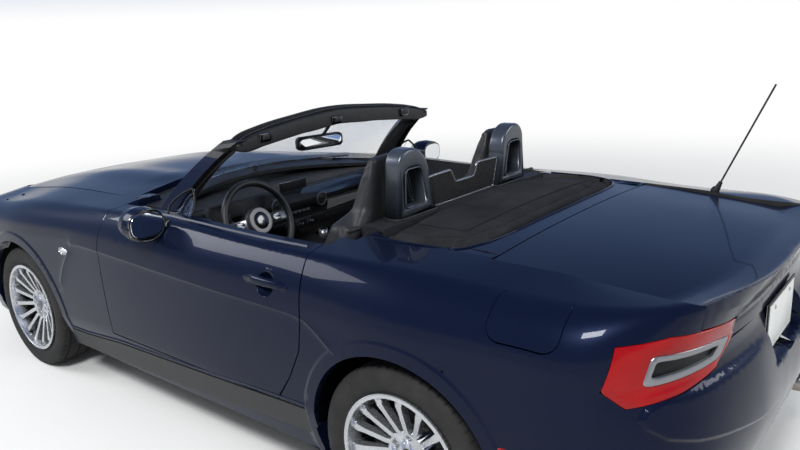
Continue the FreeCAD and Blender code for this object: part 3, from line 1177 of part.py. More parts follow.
def along_glass(ahead, ends, low, high):
    """A strip that follows the foot of the windscreen, between two distances ahead of it."""
    edges = []
    for distance in ahead:
        foot = [(GLASS_LOW[0][0] + distance, GLASS_LOW[0][1], low), (GLASS_LOW[1][0] + distance, 0, low),
                (GLASS_LOW[0][0] + distance, -GLASS_LOW[0][1], low)]
        edges.append(foot if not edges else foot[::-1])
    wire = Part.Wire([arc_edge(*edges[0]), line_edge(edges[0][2], edges[1][0]), arc_edge(*edges[1]),
                      line_edge(edges[1][2], edges[0][0])])
    strip = Part.Face(wire).extrude(Vector(0, 0, high - low))
    return strip.common(box(-100, 800, ends[0], ends[1], low - 1, high + 1))


WIPERS = ((20, 540, 281), (-545, -40, 459))   # inner end, outer end across the car, and x of the post
wiper_set = None
for inner_end, post_end, post_x in WIPERS:
    blade = along_glass((19, 31), (inner_end, post_end), 905, 915)
    wiper_arm = along_glass((19, 33), ((inner_end + post_end) / 2, post_end), 915, 922)
    post = Part.makeCylinder(10, 60, Vector(post_x, post_end - 20, 861), UP)
    post = post.cut(cowl).cut(cowl.translated(Vector(0, 0, seam)))
    post = max(post.Solids, key=lambda solid: solid.BoundBox.ZMax)
    piece = blade.fuse(wiper_arm).fuse(post)
    wiper_set = piece if wiper_set is None else wiper_set.fuse(piece)
sub_part("wipers", wiper_set)

# Check and write
doc.recompute()
for item in doc.Objects:
    if "Invalid" in item.State or "Error" in item.State:
        raise RuntimeError("failed: " + item.Name)
for name, item in nodes.items():
    shape = item.Shape
    if shape.isNull() or not shape.isValid() or not shape.Solids:
        raise RuntimeError("bad shape: " + name)
    shape.exportStep("parts/" + name + ".step")
print(len(nodes), "parts")
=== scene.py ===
import math

import bmesh
import bpy
import numpy as np
from mathutils import Matrix, Vector
from mathutils.bvhtree import BVHTree


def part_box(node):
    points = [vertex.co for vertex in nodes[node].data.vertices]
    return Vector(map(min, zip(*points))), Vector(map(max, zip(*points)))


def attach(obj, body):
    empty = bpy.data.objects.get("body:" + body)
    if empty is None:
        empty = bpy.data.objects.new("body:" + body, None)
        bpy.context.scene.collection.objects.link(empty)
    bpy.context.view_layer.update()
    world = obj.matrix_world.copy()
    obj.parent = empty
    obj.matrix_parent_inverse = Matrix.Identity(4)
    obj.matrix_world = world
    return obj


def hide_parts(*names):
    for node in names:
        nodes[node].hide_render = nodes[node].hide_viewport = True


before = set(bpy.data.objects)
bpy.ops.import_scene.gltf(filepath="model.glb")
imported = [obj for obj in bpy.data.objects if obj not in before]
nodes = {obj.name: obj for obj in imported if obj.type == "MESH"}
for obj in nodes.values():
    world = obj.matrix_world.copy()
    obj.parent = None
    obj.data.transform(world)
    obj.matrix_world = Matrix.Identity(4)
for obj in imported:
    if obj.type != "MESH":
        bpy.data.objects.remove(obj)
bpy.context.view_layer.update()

collection = bpy.context.scene.collection
MM = 0.001

# Places that repeat the driving sizes of the car, in metres
FRONT_AXLE, REAR_AXLE = 1.147, -1.163
HALF_TRACK, TYRE_RADIUS = 0.748, 0.3005
WHEELS = (("front_left", FRONT_AXLE, 1), ("front_right", FRONT_AXLE, -1),
          ("rear_left", REAR_AXLE, 1), ("rear_right", REAR_AXLE, -1))
SIDES = (("left", 1), ("right", -1))

# Camera at the photograph's viewing angle
EYE = Vector((-2.394, 2.286, 1.531))
YAW, PITCH, ROLL = math.radians(-50.65), math.radians(-14.91), math.radians(-2.49)
LENS = 32.76


def set_camera():
    bpy.context.scene.view_settings.view_transform = "Standard"
    ahead = Vector((math.cos(PITCH) * math.cos(YAW), math.cos(PITCH) * math.sin(YAW), math.sin(PITCH)))
    right = ahead.cross(Vector((0, 0, 1))).normalized()
    above = right.cross(ahead)
    across = right * math.cos(ROLL) + above * math.sin(ROLL)
    up = above * math.cos(ROLL) - right * math.sin(ROLL)
    camera = bpy.data.objects.new("camera", bpy.data.cameras.new("camera"))
    collection.objects.link(camera)
    camera.matrix_world = Matrix.Translation(EYE) @ Matrix((across, up, -ahead)).transposed().to_4x4()
    camera.data.sensor_width = 36
    camera.data.lens = LENS
    bpy.context.scene.camera = camera


def area_light(name, place, target, size, power):
    data = bpy.data.lights.new(name, "AREA")
    data.shape = "RECTANGLE"
    data.size, data.size_y = size
    data.energy = power
    lamp = bpy.data.objects.new(name, data)
    collection.objects.link(lamp)
    lamp.location = place
    lamp.rotation_euler = (Vector(target) - Vector(place)).to_track_quat("-Z", "Y").to_euler()


def background_rays(tree):
    """1 for the rays that should see the background as it is."""
    path = tree.nodes.new("ShaderNodeLightPath")
    value = path.outputs["Is Camera Ray"]
    for other in ("Is Glossy Ray", "Is Transmission Ray"):
        join = tree.nodes.new("ShaderNodeMath")
        join.operation = "MAXIMUM"
        tree.links.new(value, join.inputs[0])
        tree.links.new(path.outputs[other], join.inputs[1])
        value = join.outputs[0]
    return value


def set_world():
    """White at the horizon and a pale sky blue overhead; a plain soft light on the object."""
    world = bpy.data.worlds.new("studio")
    bpy.context.scene.world = world
    world.use_nodes = True
    tree = world.node_tree
    tree.nodes.clear()
    out = tree.nodes.new("ShaderNodeOutputWorld")
    mix = tree.nodes.new("ShaderNodeMixShader")
    lit = tree.nodes.new("ShaderNodeBackground")
    seen = tree.nodes.new("ShaderNodeBackground")
    where = tree.nodes.new("ShaderNodeTexCoord")
    split = tree.nodes.new("ShaderNodeSeparateXYZ")
    ramp = tree.nodes.new("ShaderNodeValToRGB")
    ramp.color_ramp.elements[0].position = 0.03
    ramp.color_ramp.elements[0].color = (1, 1, 1, 1)
    ramp.color_ramp.elements[1].position = 0.70
    ramp.color_ramp.elements[1].color = (0.07, 0.13, 0.30, 1)
    middle = ramp.color_ramp.elements.new(0.14)
    middle.color = (0.24, 0.36, 0.62, 1)
    lit.inputs["Color"].default_value = (0.90, 0.95, 1.0, 1)
    lit.inputs["Strength"].default_value = 0.55
    seen.inputs["Strength"].default_value = 1.0
    tree.links.new(where.outputs["Generated"], split.inputs[0])
    tree.links.new(split.outputs["Z"], ramp.inputs["Fac"])
    tree.links.new(ramp.outputs["Color"], seen.inputs["Color"])
    tree.links.new(background_rays(tree), mix.inputs[0])
    tree.links.new(lit.outputs[0], mix.inputs[1])
    tree.links.new(seen.outputs[0], mix.inputs[2])
    tree.links.new(mix.outputs[0], out.inputs[0])


def set_floor():
    """A pale floor that keeps the car's shadow and fades to the white horizon far from it."""
    reach = 60
    mesh = bpy.data.meshes.new("studio_floor")
    mesh.from_pydata([(-reach, -reach, 0), (reach, -reach, 0), (reach, reach, 0), (-reach, reach, 0)], [],
                     [(0, 1, 2, 3)])
    floor_paint = Paint("studio_floor", (0.74, 0.74, 0.735), 0.8)
    floor_paint.vary(floor_paint.noise(0.8, 3), (0.71, 0.71, 0.705))
    floor_paint.set("Specular IOR Level", 0.15)
    tree = floor_paint.tree
    far = tree.nodes.new("ShaderNodeEmission")
    mix = tree.nodes.new("ShaderNodeMixShader")
    where = tree.nodes.new("ShaderNodeTexCoord")
    length = tree.nodes.new("ShaderNodeVectorMath")
    length.operation = "LENGTH"
    spread = tree.nodes.new("ShaderNodeMapRange")
    spread.interpolation_type = "SMOOTHSTEP"
    spread.inputs["From Min"].default_value = 2.4
    spread.inputs["From Max"].default_value = 8.5
    gate = tree.nodes.new("ShaderNodeMath")
    gate.operation = "MULTIPLY"
    tree.links.new(where.outputs["Object"], length.inputs[0])
    tree.links.new(length.outputs["Value"], spread.inputs["Value"])
    tree.links.new(spread.outputs["Result"], gate.inputs[0])
    tree.links.new(background_rays(tree), gate.inputs[1])
    tree.links.new(gate.outputs[0], mix.inputs[0])
    tree.links.new(floor_paint.shader.outputs[0], mix.inputs[1])
    tree.links.new(far.outputs[0], mix.inputs[2])
    tree.links.new(mix.outputs[0], tree.nodes["Material Output"].inputs["Surface"])
    mesh.materials.append(floor_paint.mat)
    floor = bpy.data.objects.new("studio_floor", mesh)
    collection.objects.link(floor)


class Paint:
    """A Principled material with texture nodes for its colour, roughness and bumps."""

    def __init__(self, name, colour, rough=0.5, metal=0.0, **more):
        self.mat = bpy.data.materials.new(name)
        self.mat.use_nodes = True
        self.tree = self.mat.node_tree
        self.shader = self.tree.nodes["Principled BSDF"]
        self.colour = tuple(colour) + (1,)
        self.set("Base Color", self.colour)
        self.set("Roughness", rough)
        self.set("Metallic", metal)
        for key, value in more.items():
            self.set(key.replace("_", " ").title().replace("Ior", "IOR"), value)
        self.normal = None

    def set(self, name, value):
        self.shader.inputs[name].default_value = value

    def node(self, kind, **values):
        made = self.tree.nodes.new(kind)
        for key, value in values.items():
            made.inputs[key].default_value = value
        return made

    def link(self, start, end):
        self.tree.links.new(start, end)

    def coords(self, stretch=(1, 1, 1), turn=0):
        where = self.node("ShaderNodeTexCoord")
        mapping = self.node("ShaderNodeMapping", Scale=stretch, Rotation=(0, 0, math.radians(turn)))
        self.link(where.outputs["Object"], mapping.inputs["Vector"])
        return mapping.outputs["Vector"]

    def noise(self, scale, detail=4.0, stretch=(1, 1, 1)):
        made = self.node("ShaderNodeTexNoise", Scale=scale, Detail=detail)
        self.link(self.coords(stretch), made.inputs["Vector"])
        return made.outputs["Fac"]

    def cells(self, scale, stretch=(1, 1, 1)):
        made = self.node("ShaderNodeTexVoronoi", Scale=scale)
        self.link(self.coords(stretch), made.inputs["Vector"])
        return made.outputs["Distance"]

    def weave(self, scale):
        """Crossed threads."""
        join = self.node("ShaderNodeMath")
        join.operation = "MAXIMUM"
        for index, turn in enumerate((0, 90)):
            wave = self.node("ShaderNodeTexWave", Scale=scale, Distortion=0.4)
            self.link(self.coords((1, 1, 1), turn), wave.inputs["Vector"])
            self.link(wave.outputs["Fac"], join.inputs[index])
        return join.outputs[0]

    def vary(self, factor, other, low=0.3, high=0.7):
        """The colour moves towards another one with a texture."""
        ramp = self.node("ShaderNodeValToRGB")
        ramp.color_ramp.elements[0].position = low
        ramp.color_ramp.elements[1].position = high
        ramp.color_ramp.elements[0].color = self.colour
        ramp.color_ramp.elements[1].color = tuple(other) + (1,)
        self.link(factor, ramp.inputs["Fac"])
        self.link(ramp.outputs["Color"], self.shader.inputs["Base Color"])

    def roughen(self, factor, low, high):
        spread = self.node("ShaderNodeMapRange")
        spread.inputs["To Min"].default_value = low
        spread.inputs["To Max"].default_value = high
        self.link(factor, spread.inputs["Value"])
        self.link(spread.outputs["Result"], self.shader.inputs["Roughness"])

    def bump(self, factor, strength, distance=0.001):
        made = self.node("ShaderNodeBump", Strength=strength, Distance=distance)
        self.link(factor, made.inputs["Height"])
        if self.normal is not None:
            self.link(self.normal, made.inputs["Normal"])
        self.normal = made.outputs["Normal"]
        self.link(self.normal, self.shader.inputs["Normal"])


# Materials: colour, roughness, metal, further sockets, then what textures do to them
noise, cells, weave = Paint.noise, Paint.cells, Paint.weave
vary, roughen, bump = Paint.vary, Paint.roughen, Paint.bump
MATERIALS = {
    "paint": ((0.0018, 0.0024, 0.0060), 0.36, 0.30,
              dict(coat_weight=0.55, coat_roughness=0.010, coat_ior=1.24, specular_ior_level=0.03),
              (vary, (cells, 2400), (0.0040, 0.0075, 0.0240), 0.02, 0.5),
              (roughen, (noise, 6, 3), 0.28, 0.38)),
    "plastic": ((0.0085, 0.0085, 0.0090), 0.50, 0, dict(specular_ior_level=0.35),
                (vary, (noise, 40), (0.014, 0.014, 0.015)), (bump, (noise, 900, 2), 0.12, 0.0004)),
    "gloss": ((0.0050, 0.0050, 0.0055), 0.14, 0, dict(coat_weight=0.4, coat_roughness=0.05),
              (roughen, (noise, 14), 0.10, 0.20)),
    "dash": ((0.0090, 0.0092, 0.0105), 0.60, 0, dict(specular_ior_level=0.3),
             (vary, (noise, 30), (0.014, 0.015, 0.018)), (bump, (cells, 700), 0.2, 0.0005)),
    "tyre": ((0.0110, 0.0110, 0.0112), 0.80, 0, dict(specular_ior_level=0.3),
             (vary, (noise, 18, 6), (0.022, 0.021, 0.020)), (bump, (noise, 420, 3), 0.25, 0.0005)),
    "rubber": ((0.0060, 0.0060, 0.0060), 0.62, 0, dict(specular_ior_level=0.3),
               (bump, (noise, 300, 2), 0.15, 0.0004)),
    "alloy": ((0.50, 0.51, 0.53), 0.27, 0.85, dict(coat_weight=0.6, coat_roughness=0.06),
              (vary, (noise, 9, 4), (0.43, 0.44, 0.46)), (roughen, (noise, 30, 3), 0.20, 0.34)),
    # Dark alloy of the engine block, and painted shade on the silver insides of the wheel rims
    "dark_alloy_and_painted_shade": ((0.040, 0.042, 0.046), 0.42, 0.7, {}, (roughen, (noise, 30, 3), 0.30, 0.50)),
    "steel": ((0.36, 0.35, 0.34), 0.35, 1.0, {}, (roughen, (noise, 60, 2, (12, 1, 12)), 0.25, 0.45)),
    "iron": ((0.030, 0.029, 0.028), 0.65, 0.4, {},
             (vary, (noise, 25, 6), (0.060, 0.050, 0.042), 0.45, 0.8), (bump, (noise, 260, 3), 0.3, 0.0006)),
    "exhaust": ((0.42, 0.40, 0.37), 0.34, 1.0, {},
                (vary, (noise, 12, 5), (0.28, 0.24, 0.20)), (roughen, (noise, 40, 3), 0.25, 0.50)),
    "under": ((0.012, 0.012, 0.013), 0.78, 0, dict(specular_ior_level=0.25),
              (vary, (noise, 8, 6), (0.026, 0.025, 0.024)), (bump, (noise, 180, 4), 0.4, 0.001)),
    "carpet": ((0.008, 0.008, 0.009), 0.95, 0, dict(specular_ior_level=0.1),
               (vary, (noise, 500, 2), (0.020, 0.020, 0.022)), (bump, (noise, 900, 3), 0.8, 0.002)),
    "leather": ((0.0085, 0.0085, 0.0092), 0.48, 0, dict(specular_ior_level=0.35),
                (vary, (noise, 7, 5), (0.015, 0.015, 0.016)), (bump, (cells, 520), 0.3, 0.0005),
                (bump, (noise, 14, 3), 0.25, 0.004)),
    "cloth": ((0.0100, 0.0102, 0.0115), 0.92, 0, dict(specular_ior_level=0.15),
              (vary, (noise, 10, 5), (0.017, 0.018, 0.021)), (bump, (weave, 420), 0.5, 0.0006)),
    "glass": ((0.93, 0.97, 0.96), 0.02, 0, dict(transmission_weight=1.0, ior=1.15, alpha=0.30),
              (roughen, (noise, 3), 0.0, 0.03)),
    "lens": ((0.86, 0.88, 0.90), 0.05, 0, dict(transmission_weight=0.6, ior=1.45, coat_weight=1.0),
             (bump, (noise, 60, 1), 0.05, 0.0005)),
    "red": ((0.30, 0.0025, 0.0035), 0.12, 0,
            dict(coat_weight=0.45, coat_roughness=0.02, coat_ior=1.3, specular_ior_level=0.15),
            (vary, (noise, 7, 2), (0.20, 0.0015, 0.002)), (bump, (cells, 190), 0.2, 0.0010)),
    "trim": ((0.170, 0.172, 0.178), 0.46, 0.30, dict(specular_ior_level=0.3),
             (roughen, (noise, 80, 2), 0.42, 0.52)),
    "chrome": ((0.60, 0.61, 0.63), 0.10, 1.0, {}, (roughen, (noise, 20), 0.06, 0.16)),
    "silver": ((0.235, 0.24, 0.25), 0.34, 0.85, {}, (roughen, (noise, 50, 2), 0.26, 0.40)),
    "mirror": ((0.80, 0.82, 0.84), 0.02, 1.0, {}, (roughen, (noise, 4), 0.01, 0.03)),
    "hoop": ((0.048, 0.056, 0.072), 0.34, 0.45, dict(coat_weight=0.35, coat_roughness=0.22),
             (vary, (noise, 12, 3), (0.040, 0.047, 0.061)), (roughen, (noise, 60, 3), 0.28, 0.42)),
    "plate": ((0.70, 0.70, 0.68), 0.40, 0, {}, (vary, (noise, 9, 5), (0.62, 0.62, 0.60), 0.45, 0.9)),
    "screen": ((0.0030, 0.0030, 0.0035), 0.42, 0, dict(specular_ior_level=0.20),
               (roughen, (noise, 5), 0.38, 0.46)),
    "belt": ((0.075, 0.076, 0.080), 0.82, 0, {}, (bump, (weave, 900), 0.5, 0.0005)),
    "mark": ((0.70, 0.70, 0.68), 0.5, 0, {}, (vary, (noise, 40), (0.62, 0.62, 0.60))),
}


def material(key, colour, rough, metal, sockets, *steps):
    paint = Paint("car_" + key, colour, rough, metal, **sockets)
    for effect, (texture, *sizes), *values in steps:
        effect(paint, texture(paint, *sizes), *values)
    return paint.mat


mats = {key: material(key, *row) for key, row in MATERIALS.items()}


# Making and placing pieces
def add(name, mesh, body, *keys):
    """Link a mesh as a piece with its materials, riding on a body."""
    for key in keys:
        mesh.materials.append(mats[key])
    piece = bpy.data.objects.new(name, mesh)
    collection.objects.link(piece)
    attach(piece, body)
    return piece


def smooth(mesh, degrees=35):
    for polygon in mesh.polygons:
        polygon.use_smooth = True
    mesh.set_sharp_from_angle(angle=math.radians(degrees))


def loft(name, rings, key, degrees=35, cap=True, body="car_body"):
    """Skin a list of rings, each an (n, 3) array in metres, with flat ends."""
    rings = [np.asarray(ring, float) for ring in rings]
    n = len(rings[0])
    verts = np.concatenate(rings)
    faces = []
    for row in range(len(rings) - 1):
        for i in range(n):
            j = (i + 1) % n
            faces.append((row * n + i, row * n + j, (row + 1) * n + j, (row + 1) * n + i))
    if cap:
        faces.append(tuple(range(n))[::-1])
        faces.append(tuple(range((len(rings) - 1) * n, len(rings) * n)))
    mesh = bpy.data.meshes.new(name)
    mesh.from_pydata(verts.tolist(), [], faces)
    weld(mesh)
    smooth(mesh, degrees)
    return add(name, mesh, body, key)


def weld(mesh):
    """Join vertices that lie on each other and turn the faces outwards."""
    bm = bmesh.new()
    bm.from_mesh(mesh)
    bmesh.ops.remove_doubles(bm, verts=bm.verts, dist=1e-6)
    bmesh.ops.recalc_face_normals(bm, faces=bm.faces)
    bm.to_mesh(mesh)
    bm.free()


def ring_at(centre, axis, radius, count, power):
    """A circle or rounded square about an axis."""
    axis = Vector(axis).normalized()
    side = axis.cross(Vector((0, 0, 1))) if abs(axis.z) < 0.9 else axis.cross(Vector((0, 1, 0)))
    side.normalize()
    up = side.cross(axis)
    points = []
    for i in range(count):
        a = 2 * math.pi * i / count
        c, s = math.cos(a), math.sin(a)
        c = math.copysign(abs(c) ** (2 / power), c)
        s = math.copysign(abs(s) ** (2 / power), s)
        points.append(Vector(centre) + side * (radius * c) + up * (radius * s))
    return np.array(points)


def turned(name, centre, axis, profile, key, count=32, power=2.0, degrees=35, hollow=False, body="car_body"):
    """A turned piece: profile of (distance along the axis, radius); a hollow one closes on itself."""
    axis = Vector(axis).normalized()
    rings = [ring_at(Vector(centre) + axis * along, axis, max(radius, 0.0002), count, power)
             for along, radius in profile]
    if hollow:
        rings.append(rings[0])
    return loft(name, rings, key, degrees, not hollow, body=body)


def tube(name, points, radius, key, cyclic=False, resolution=3, body="car_body"):
    """A smooth cord of round section through points."""
    curve = bpy.data.curves.new(name, "CURVE")
    curve.dimensions = "3D"
    curve.bevel_depth = radius
    curve.bevel_resolution = resolution
    curve.resolution_u = 5
    curve.use_fill_caps = True
    spline = curve.splines.new("BEZIER")
    spline.bezier_points.add(len(points) - 1)
    for bezier, place in zip(spline.bezier_points, points):
        bezier.co = Vector(place)
        bezier.handle_left_type = bezier.handle_right_type = "AUTO"
    spline.use_cyclic_u = cyclic
    piece = bpy.data.objects.new(name, curve)
    collection.objects.link(piece)
    mesh = bpy.data.meshes.new_from_object(piece)
    bpy.data.objects.remove(piece)
    mesh.materials.clear()
    smooth(mesh, 50)
    return add(name, mesh, body, key)


def ribbon(name, points, normal, width, thick, key):
    """A flat strip along points, its width square to the path and its thickness along the normal."""
    rings = []
    for i, place in enumerate(points):
        along = (points[min(i + 1, len(points) - 1)] - points[max(i - 1, 0)]).normalized()
        across = along.cross(normal).normalized() * (width / 2)
        lift = normal * thick
        rings.append([place - across, place - across * 0.8 + lift, place + across * 0.8 + lift,
                      place + across])
    return loft(name, rings, key, 60)


def rounded_box(name, centre, size, radius, key, rotation=(0, 0, 0), segments=3, body="car_body"):
    """A block with rounded edges."""
    bm = bmesh.new()
    bmesh.ops.create_cube(bm, size=1)
    bmesh.ops.scale(bm, vec=size, verts=bm.verts)
    bmesh.ops.bevel(bm, geom=bm.edges[:], offset=radius, segments=segments, profile=0.5, affect="EDGES")
    turn = Matrix.Translation(Vector(centre)) @ Matrix.Rotation(rotation[2], 4, "Z") \
        @ Matrix.Rotation(rotation[1], 4, "Y") @ Matrix.Rotation(rotation[0], 4, "X")
    bmesh.ops.transform(bm, matrix=turn, verts=bm.verts)
    mesh = bpy.data.meshes.new(name)
    bm.to_mesh(mesh)
    bm.free()
    smooth(mesh, 40)
    return add(name, mesh, body, key)


def tree_of(piece):
    """A search tree of a piece's own mesh."""
    return BVHTree.FromPolygons([v.co[:] for v in piece.data.vertices],
                                [p.vertices[:] for p in piece.data.polygons])


def copied(node, name=None):
    """A copy of a CAD node's mesh with its split vertices joined."""
    mesh = nodes[node].data.copy()
    mesh.name = name or node + "_dressed"
    mesh.materials.clear()
    bm = bmesh.new()
    bm.from_mesh(mesh)
    bmesh.ops.remove_doubles(bm, verts=bm.verts, dist=2e-5)
    bm.to_mesh(mesh)
    bm.free()
    return mesh


def recoloured(node, body, base, picks, degrees=30, name=None):
    """A CAD node's form with other materials on the faces that the tests pick."""
    mesh = copied(node, name)
    smooth(mesh, degrees)
    keys = [base] + [key for key, _ in picks]
    for polygon in mesh.polygons:
        for index, (_, test) in enumerate(picks, start=1):
            if test(polygon.center, polygon.normal):
                polygon.material_index = index
                break
    piece = add(mesh.name, mesh, body, *keys)
    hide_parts(node)
    return piece


def dress(names, key):
    """CAD nodes that keep their shape and get a better material."""
    for name in names.split():
        nodes[name].data.materials.clear()
        nodes[name].data.materials.append(mats[key])


# Body surfaces from one table, in millimetres, for the highlights of the painted panels.
# Columns: place along the car, then (inset from the half width, height) of seven levels
STATIONS = (
    (1147 + 353, (70, 190), (24, 330), (12, 480), (18, 640), (42, 730), (125, 780), (310, 815)),
    (1147, (70, 190), (20, 330), (4, 490), (2, 668), (26, 760), (118, 824), (285, 853)),
    (760, (70, 185), (24, 335), (12, 500), (9, 700), (28, 785), (110, 850), (262, 876)),
    (375, (70, 185), (24, 345), (12, 520), (9, 705), (28, 795), (84, 868), (232, 888)),
    (0, (70, 185), (24, 350), (13, 520), (9, 698), (30, 800), (92, 878), (235, 893)),
    (-404, (70, 190), (24, 356), (14, 525), (10, 690), (32, 792), (86, 868), (240, 888)),
    (-804, (70, 190), (24, 365), (12, 530), (10, 684), (30, 790), (84, 870), (272, 895)),
    (-1163, (70, 195), (20, 345), (3, 500), (1, 670), (22, 790), (98, 874), (280, 896)),
    (-1163 - 337, (75, 205), (30, 340), (18, 500), (20, 680), (38, 790), (118, 862), (290, 890)),
)
NOSE = ((77, 190), (17, 300), (0, 430), (8, 570), (42, 660), (97, 715), (177, 757))
TAIL = ((95, 230), (28, 340), (0, 500), (58, 700), (56, 790), (14, 876), (290, 862))
NOSE_ROUND, TAIL_ROUND = 2.6, 3.3
FAN = (0, 25, 50, 72)
HOOD_ROWS = ((120, 888, 880), (555, 914, 880), (760, 914, 872), (1147, 897, 846),
             (1147 + 353, 850, 804), (1147 + 603, 803, 757), (1147 + 733, 746, 692))
TAIL_TOP_ROWS = ((0, 905, 868), (300, 902, 864), (600, 890, 852))


def natural_spline(rows, per):
    """Smooth rows through given rows (n, k, 3), the spacing by mean distance."""
    steps = np.linalg.norm(np.diff(rows, axis=0), axis=2).mean(1)
    knots = np.concatenate([[0], np.cumsum(steps)])
    n = len(rows)
    flat = rows.reshape(n, -1)
    h = np.diff(knots)
    system = np.zeros((n, n))
    rhs = np.zeros_like(flat)
    system[0, 0] = system[-1, -1] = 1
    for i in range(1, n - 1):
        system[i, i - 1:i + 2] = h[i - 1], 2 * (h[i - 1] + h[i]), h[i]
        rhs[i] = 6 * ((flat[i + 1] - flat[i]) / h[i] - (flat[i] - flat[i - 1]) / h[i - 1])
    curve = np.linalg.solve(system, rhs)
    result = []
    for i in range(n - 1):
        for t in np.linspace(0, h[i], per, endpoint=False):
            a, b = h[i] - t, t
            result.append(curve[i] * a ** 3 / (6 * h[i]) + curve[i + 1] * b ** 3 / (6 * h[i])
                          + (flat[i] / h[i] - curve[i] * h[i] / 6) * a
                          + (flat[i + 1] / h[i] - curve[i + 1] * h[i] / 6) * b)
    result.append(flat[-1])
    return np.array(result).reshape(-1, rows.shape[1], 3)


def fan_points(row, ends, tip, power, degrees):
    along, across = math.cos(math.radians(degrees)), math.sin(math.radians(degrees))
    share = along ** (2 / power)
    points = []
    for (inset, height), (back, end_height) in zip(row[1:], ends):
        end = tip - math.copysign(back, tip)
        points.append((row[0] + (end - row[0]) * share, (870 - inset) * across ** (2 / power),
                       height + (end_height - height) * share ** 2))
    return points


def arcs(a, b, c, count):
    """Points on the circles through a, b, c, each (n, 3)."""
    ab, ac = b - a, c - a
    w = np.cross(ab, ac)
    ww = np.maximum((w * w).sum(1, keepdims=True), 1e-9)
    u = (np.cross(w, ab) * (ac * ac).sum(1, keepdims=True)
         + np.cross(ac, w) * (ab * ab).sum(1, keepdims=True)) / (2 * ww)
    centre = a + u
    radius = np.linalg.norm(u, axis=1)
    ex = -u / radius[:, None]
    ey = np.cross(w / np.sqrt(ww), ex)
    reach = c - centre
    sweep = np.arctan2((reach * ey).sum(1), (reach * ex).sum(1)) % (2 * np.pi)
    theta = sweep[:, None] * np.linspace(0, 1, count)[None]
    return centre[:, None] + radius[:, None, None] * (np.cos(theta)[..., None] * ex[:, None]
                                                      + np.sin(theta)[..., None] * ey[:, None])


def lines(a, b, count):
    return a[:, None] + (b - a)[:, None] * np.linspace(0, 1, count)[None, :, None]


def side_grids(per=16):
    rows = [fan_points(STATIONS[0], NOSE, 2027, NOSE_ROUND, d) for d in FAN]
    rows += [[(row[0], 870 - inset, height) for inset, height in row[1:]] for row in STATIONS]
    rows += [fan_points(STATIONS[8], TAIL, -2027, TAIL_ROUND, d) for d in FAN[::-1]]
    level = natural_spline(np.array(rows, float), per)
    sill, low, middle, crease, upper, shoulder, edge = [level[:, i] for i in range(7)]
    return [lines(sill, low, 6), arcs(low, middle, crease, 16), arcs(crease, upper, shoulder, 12),
            lines(shoulder, edge, 7)]


def hood_rise(x, y):
    """Two long raised bulges either side of the middle, as a height in mm."""
    along = np.clip((x - 470) / 200, 0, 1) * np.clip((1760 - x) / 420, 0, 1)
    along = along * along * (3 - 2 * along)
    across = np.exp(-((np.abs(y) - 330) / 105) ** 2)
    return 11 * along * across


def hood_grid(per=14):
    rows = []
    for x, middle, edge in HOOD_ROWS:
        rows.append([(x, -640, edge), (x, 0, middle), (x, 640, edge)])
    level = natural_spline(np.array(rows, float), per)
    grid = arcs(level[:, 0], level[:, 1], level[:, 2], 61)
    return grid


def tail_level(level, y):
    into, height = STATIONS[8][level + 1]
    back, end_height = TAIL[level]
    wide = 870 - into
    share = (1 - (abs(y) / wide) ** TAIL_ROUND) ** (1 / TAIL_ROUND)
    pivot = -1500
    return pivot + (-2027 + back - pivot) * share, height + (end_height - height) * share ** 2


def tail_grids(per=14):
    rows = []
    for y, front, crease in [(-r[0],) + r[1:] for r in TAIL_TOP_ROWS[:0:-1]] + list(TAIL_TOP_ROWS):
        edge_x, edge_z = tail_level(5, y)
        under_x, under_z = tail_level(4, y)
        face_x, face_z = tail_level(3, y)
        share = (under_z - 742) / (under_z - face_z)
        low_x = under_x + (face_x - under_x) * share
        crease_x = edge_x + 95
        rows.append([(-1200, y, front), ((crease_x - 1200) / 2, y, (front + crease) / 2 + 7),
                     (crease_x, y, crease), (edge_x, y, edge_z), (under_x, y, under_z), (low_x, y, 742)])
    level = natural_spline(np.array(rows, float), per)
    start, middle, crease, edge, under, low = [level[:, i] for i in range(6)]
    return [arcs(start, middle, crease, 24), lines(crease, edge, 6), lines(edge, under, 6),
            lines(under, low, 4)]


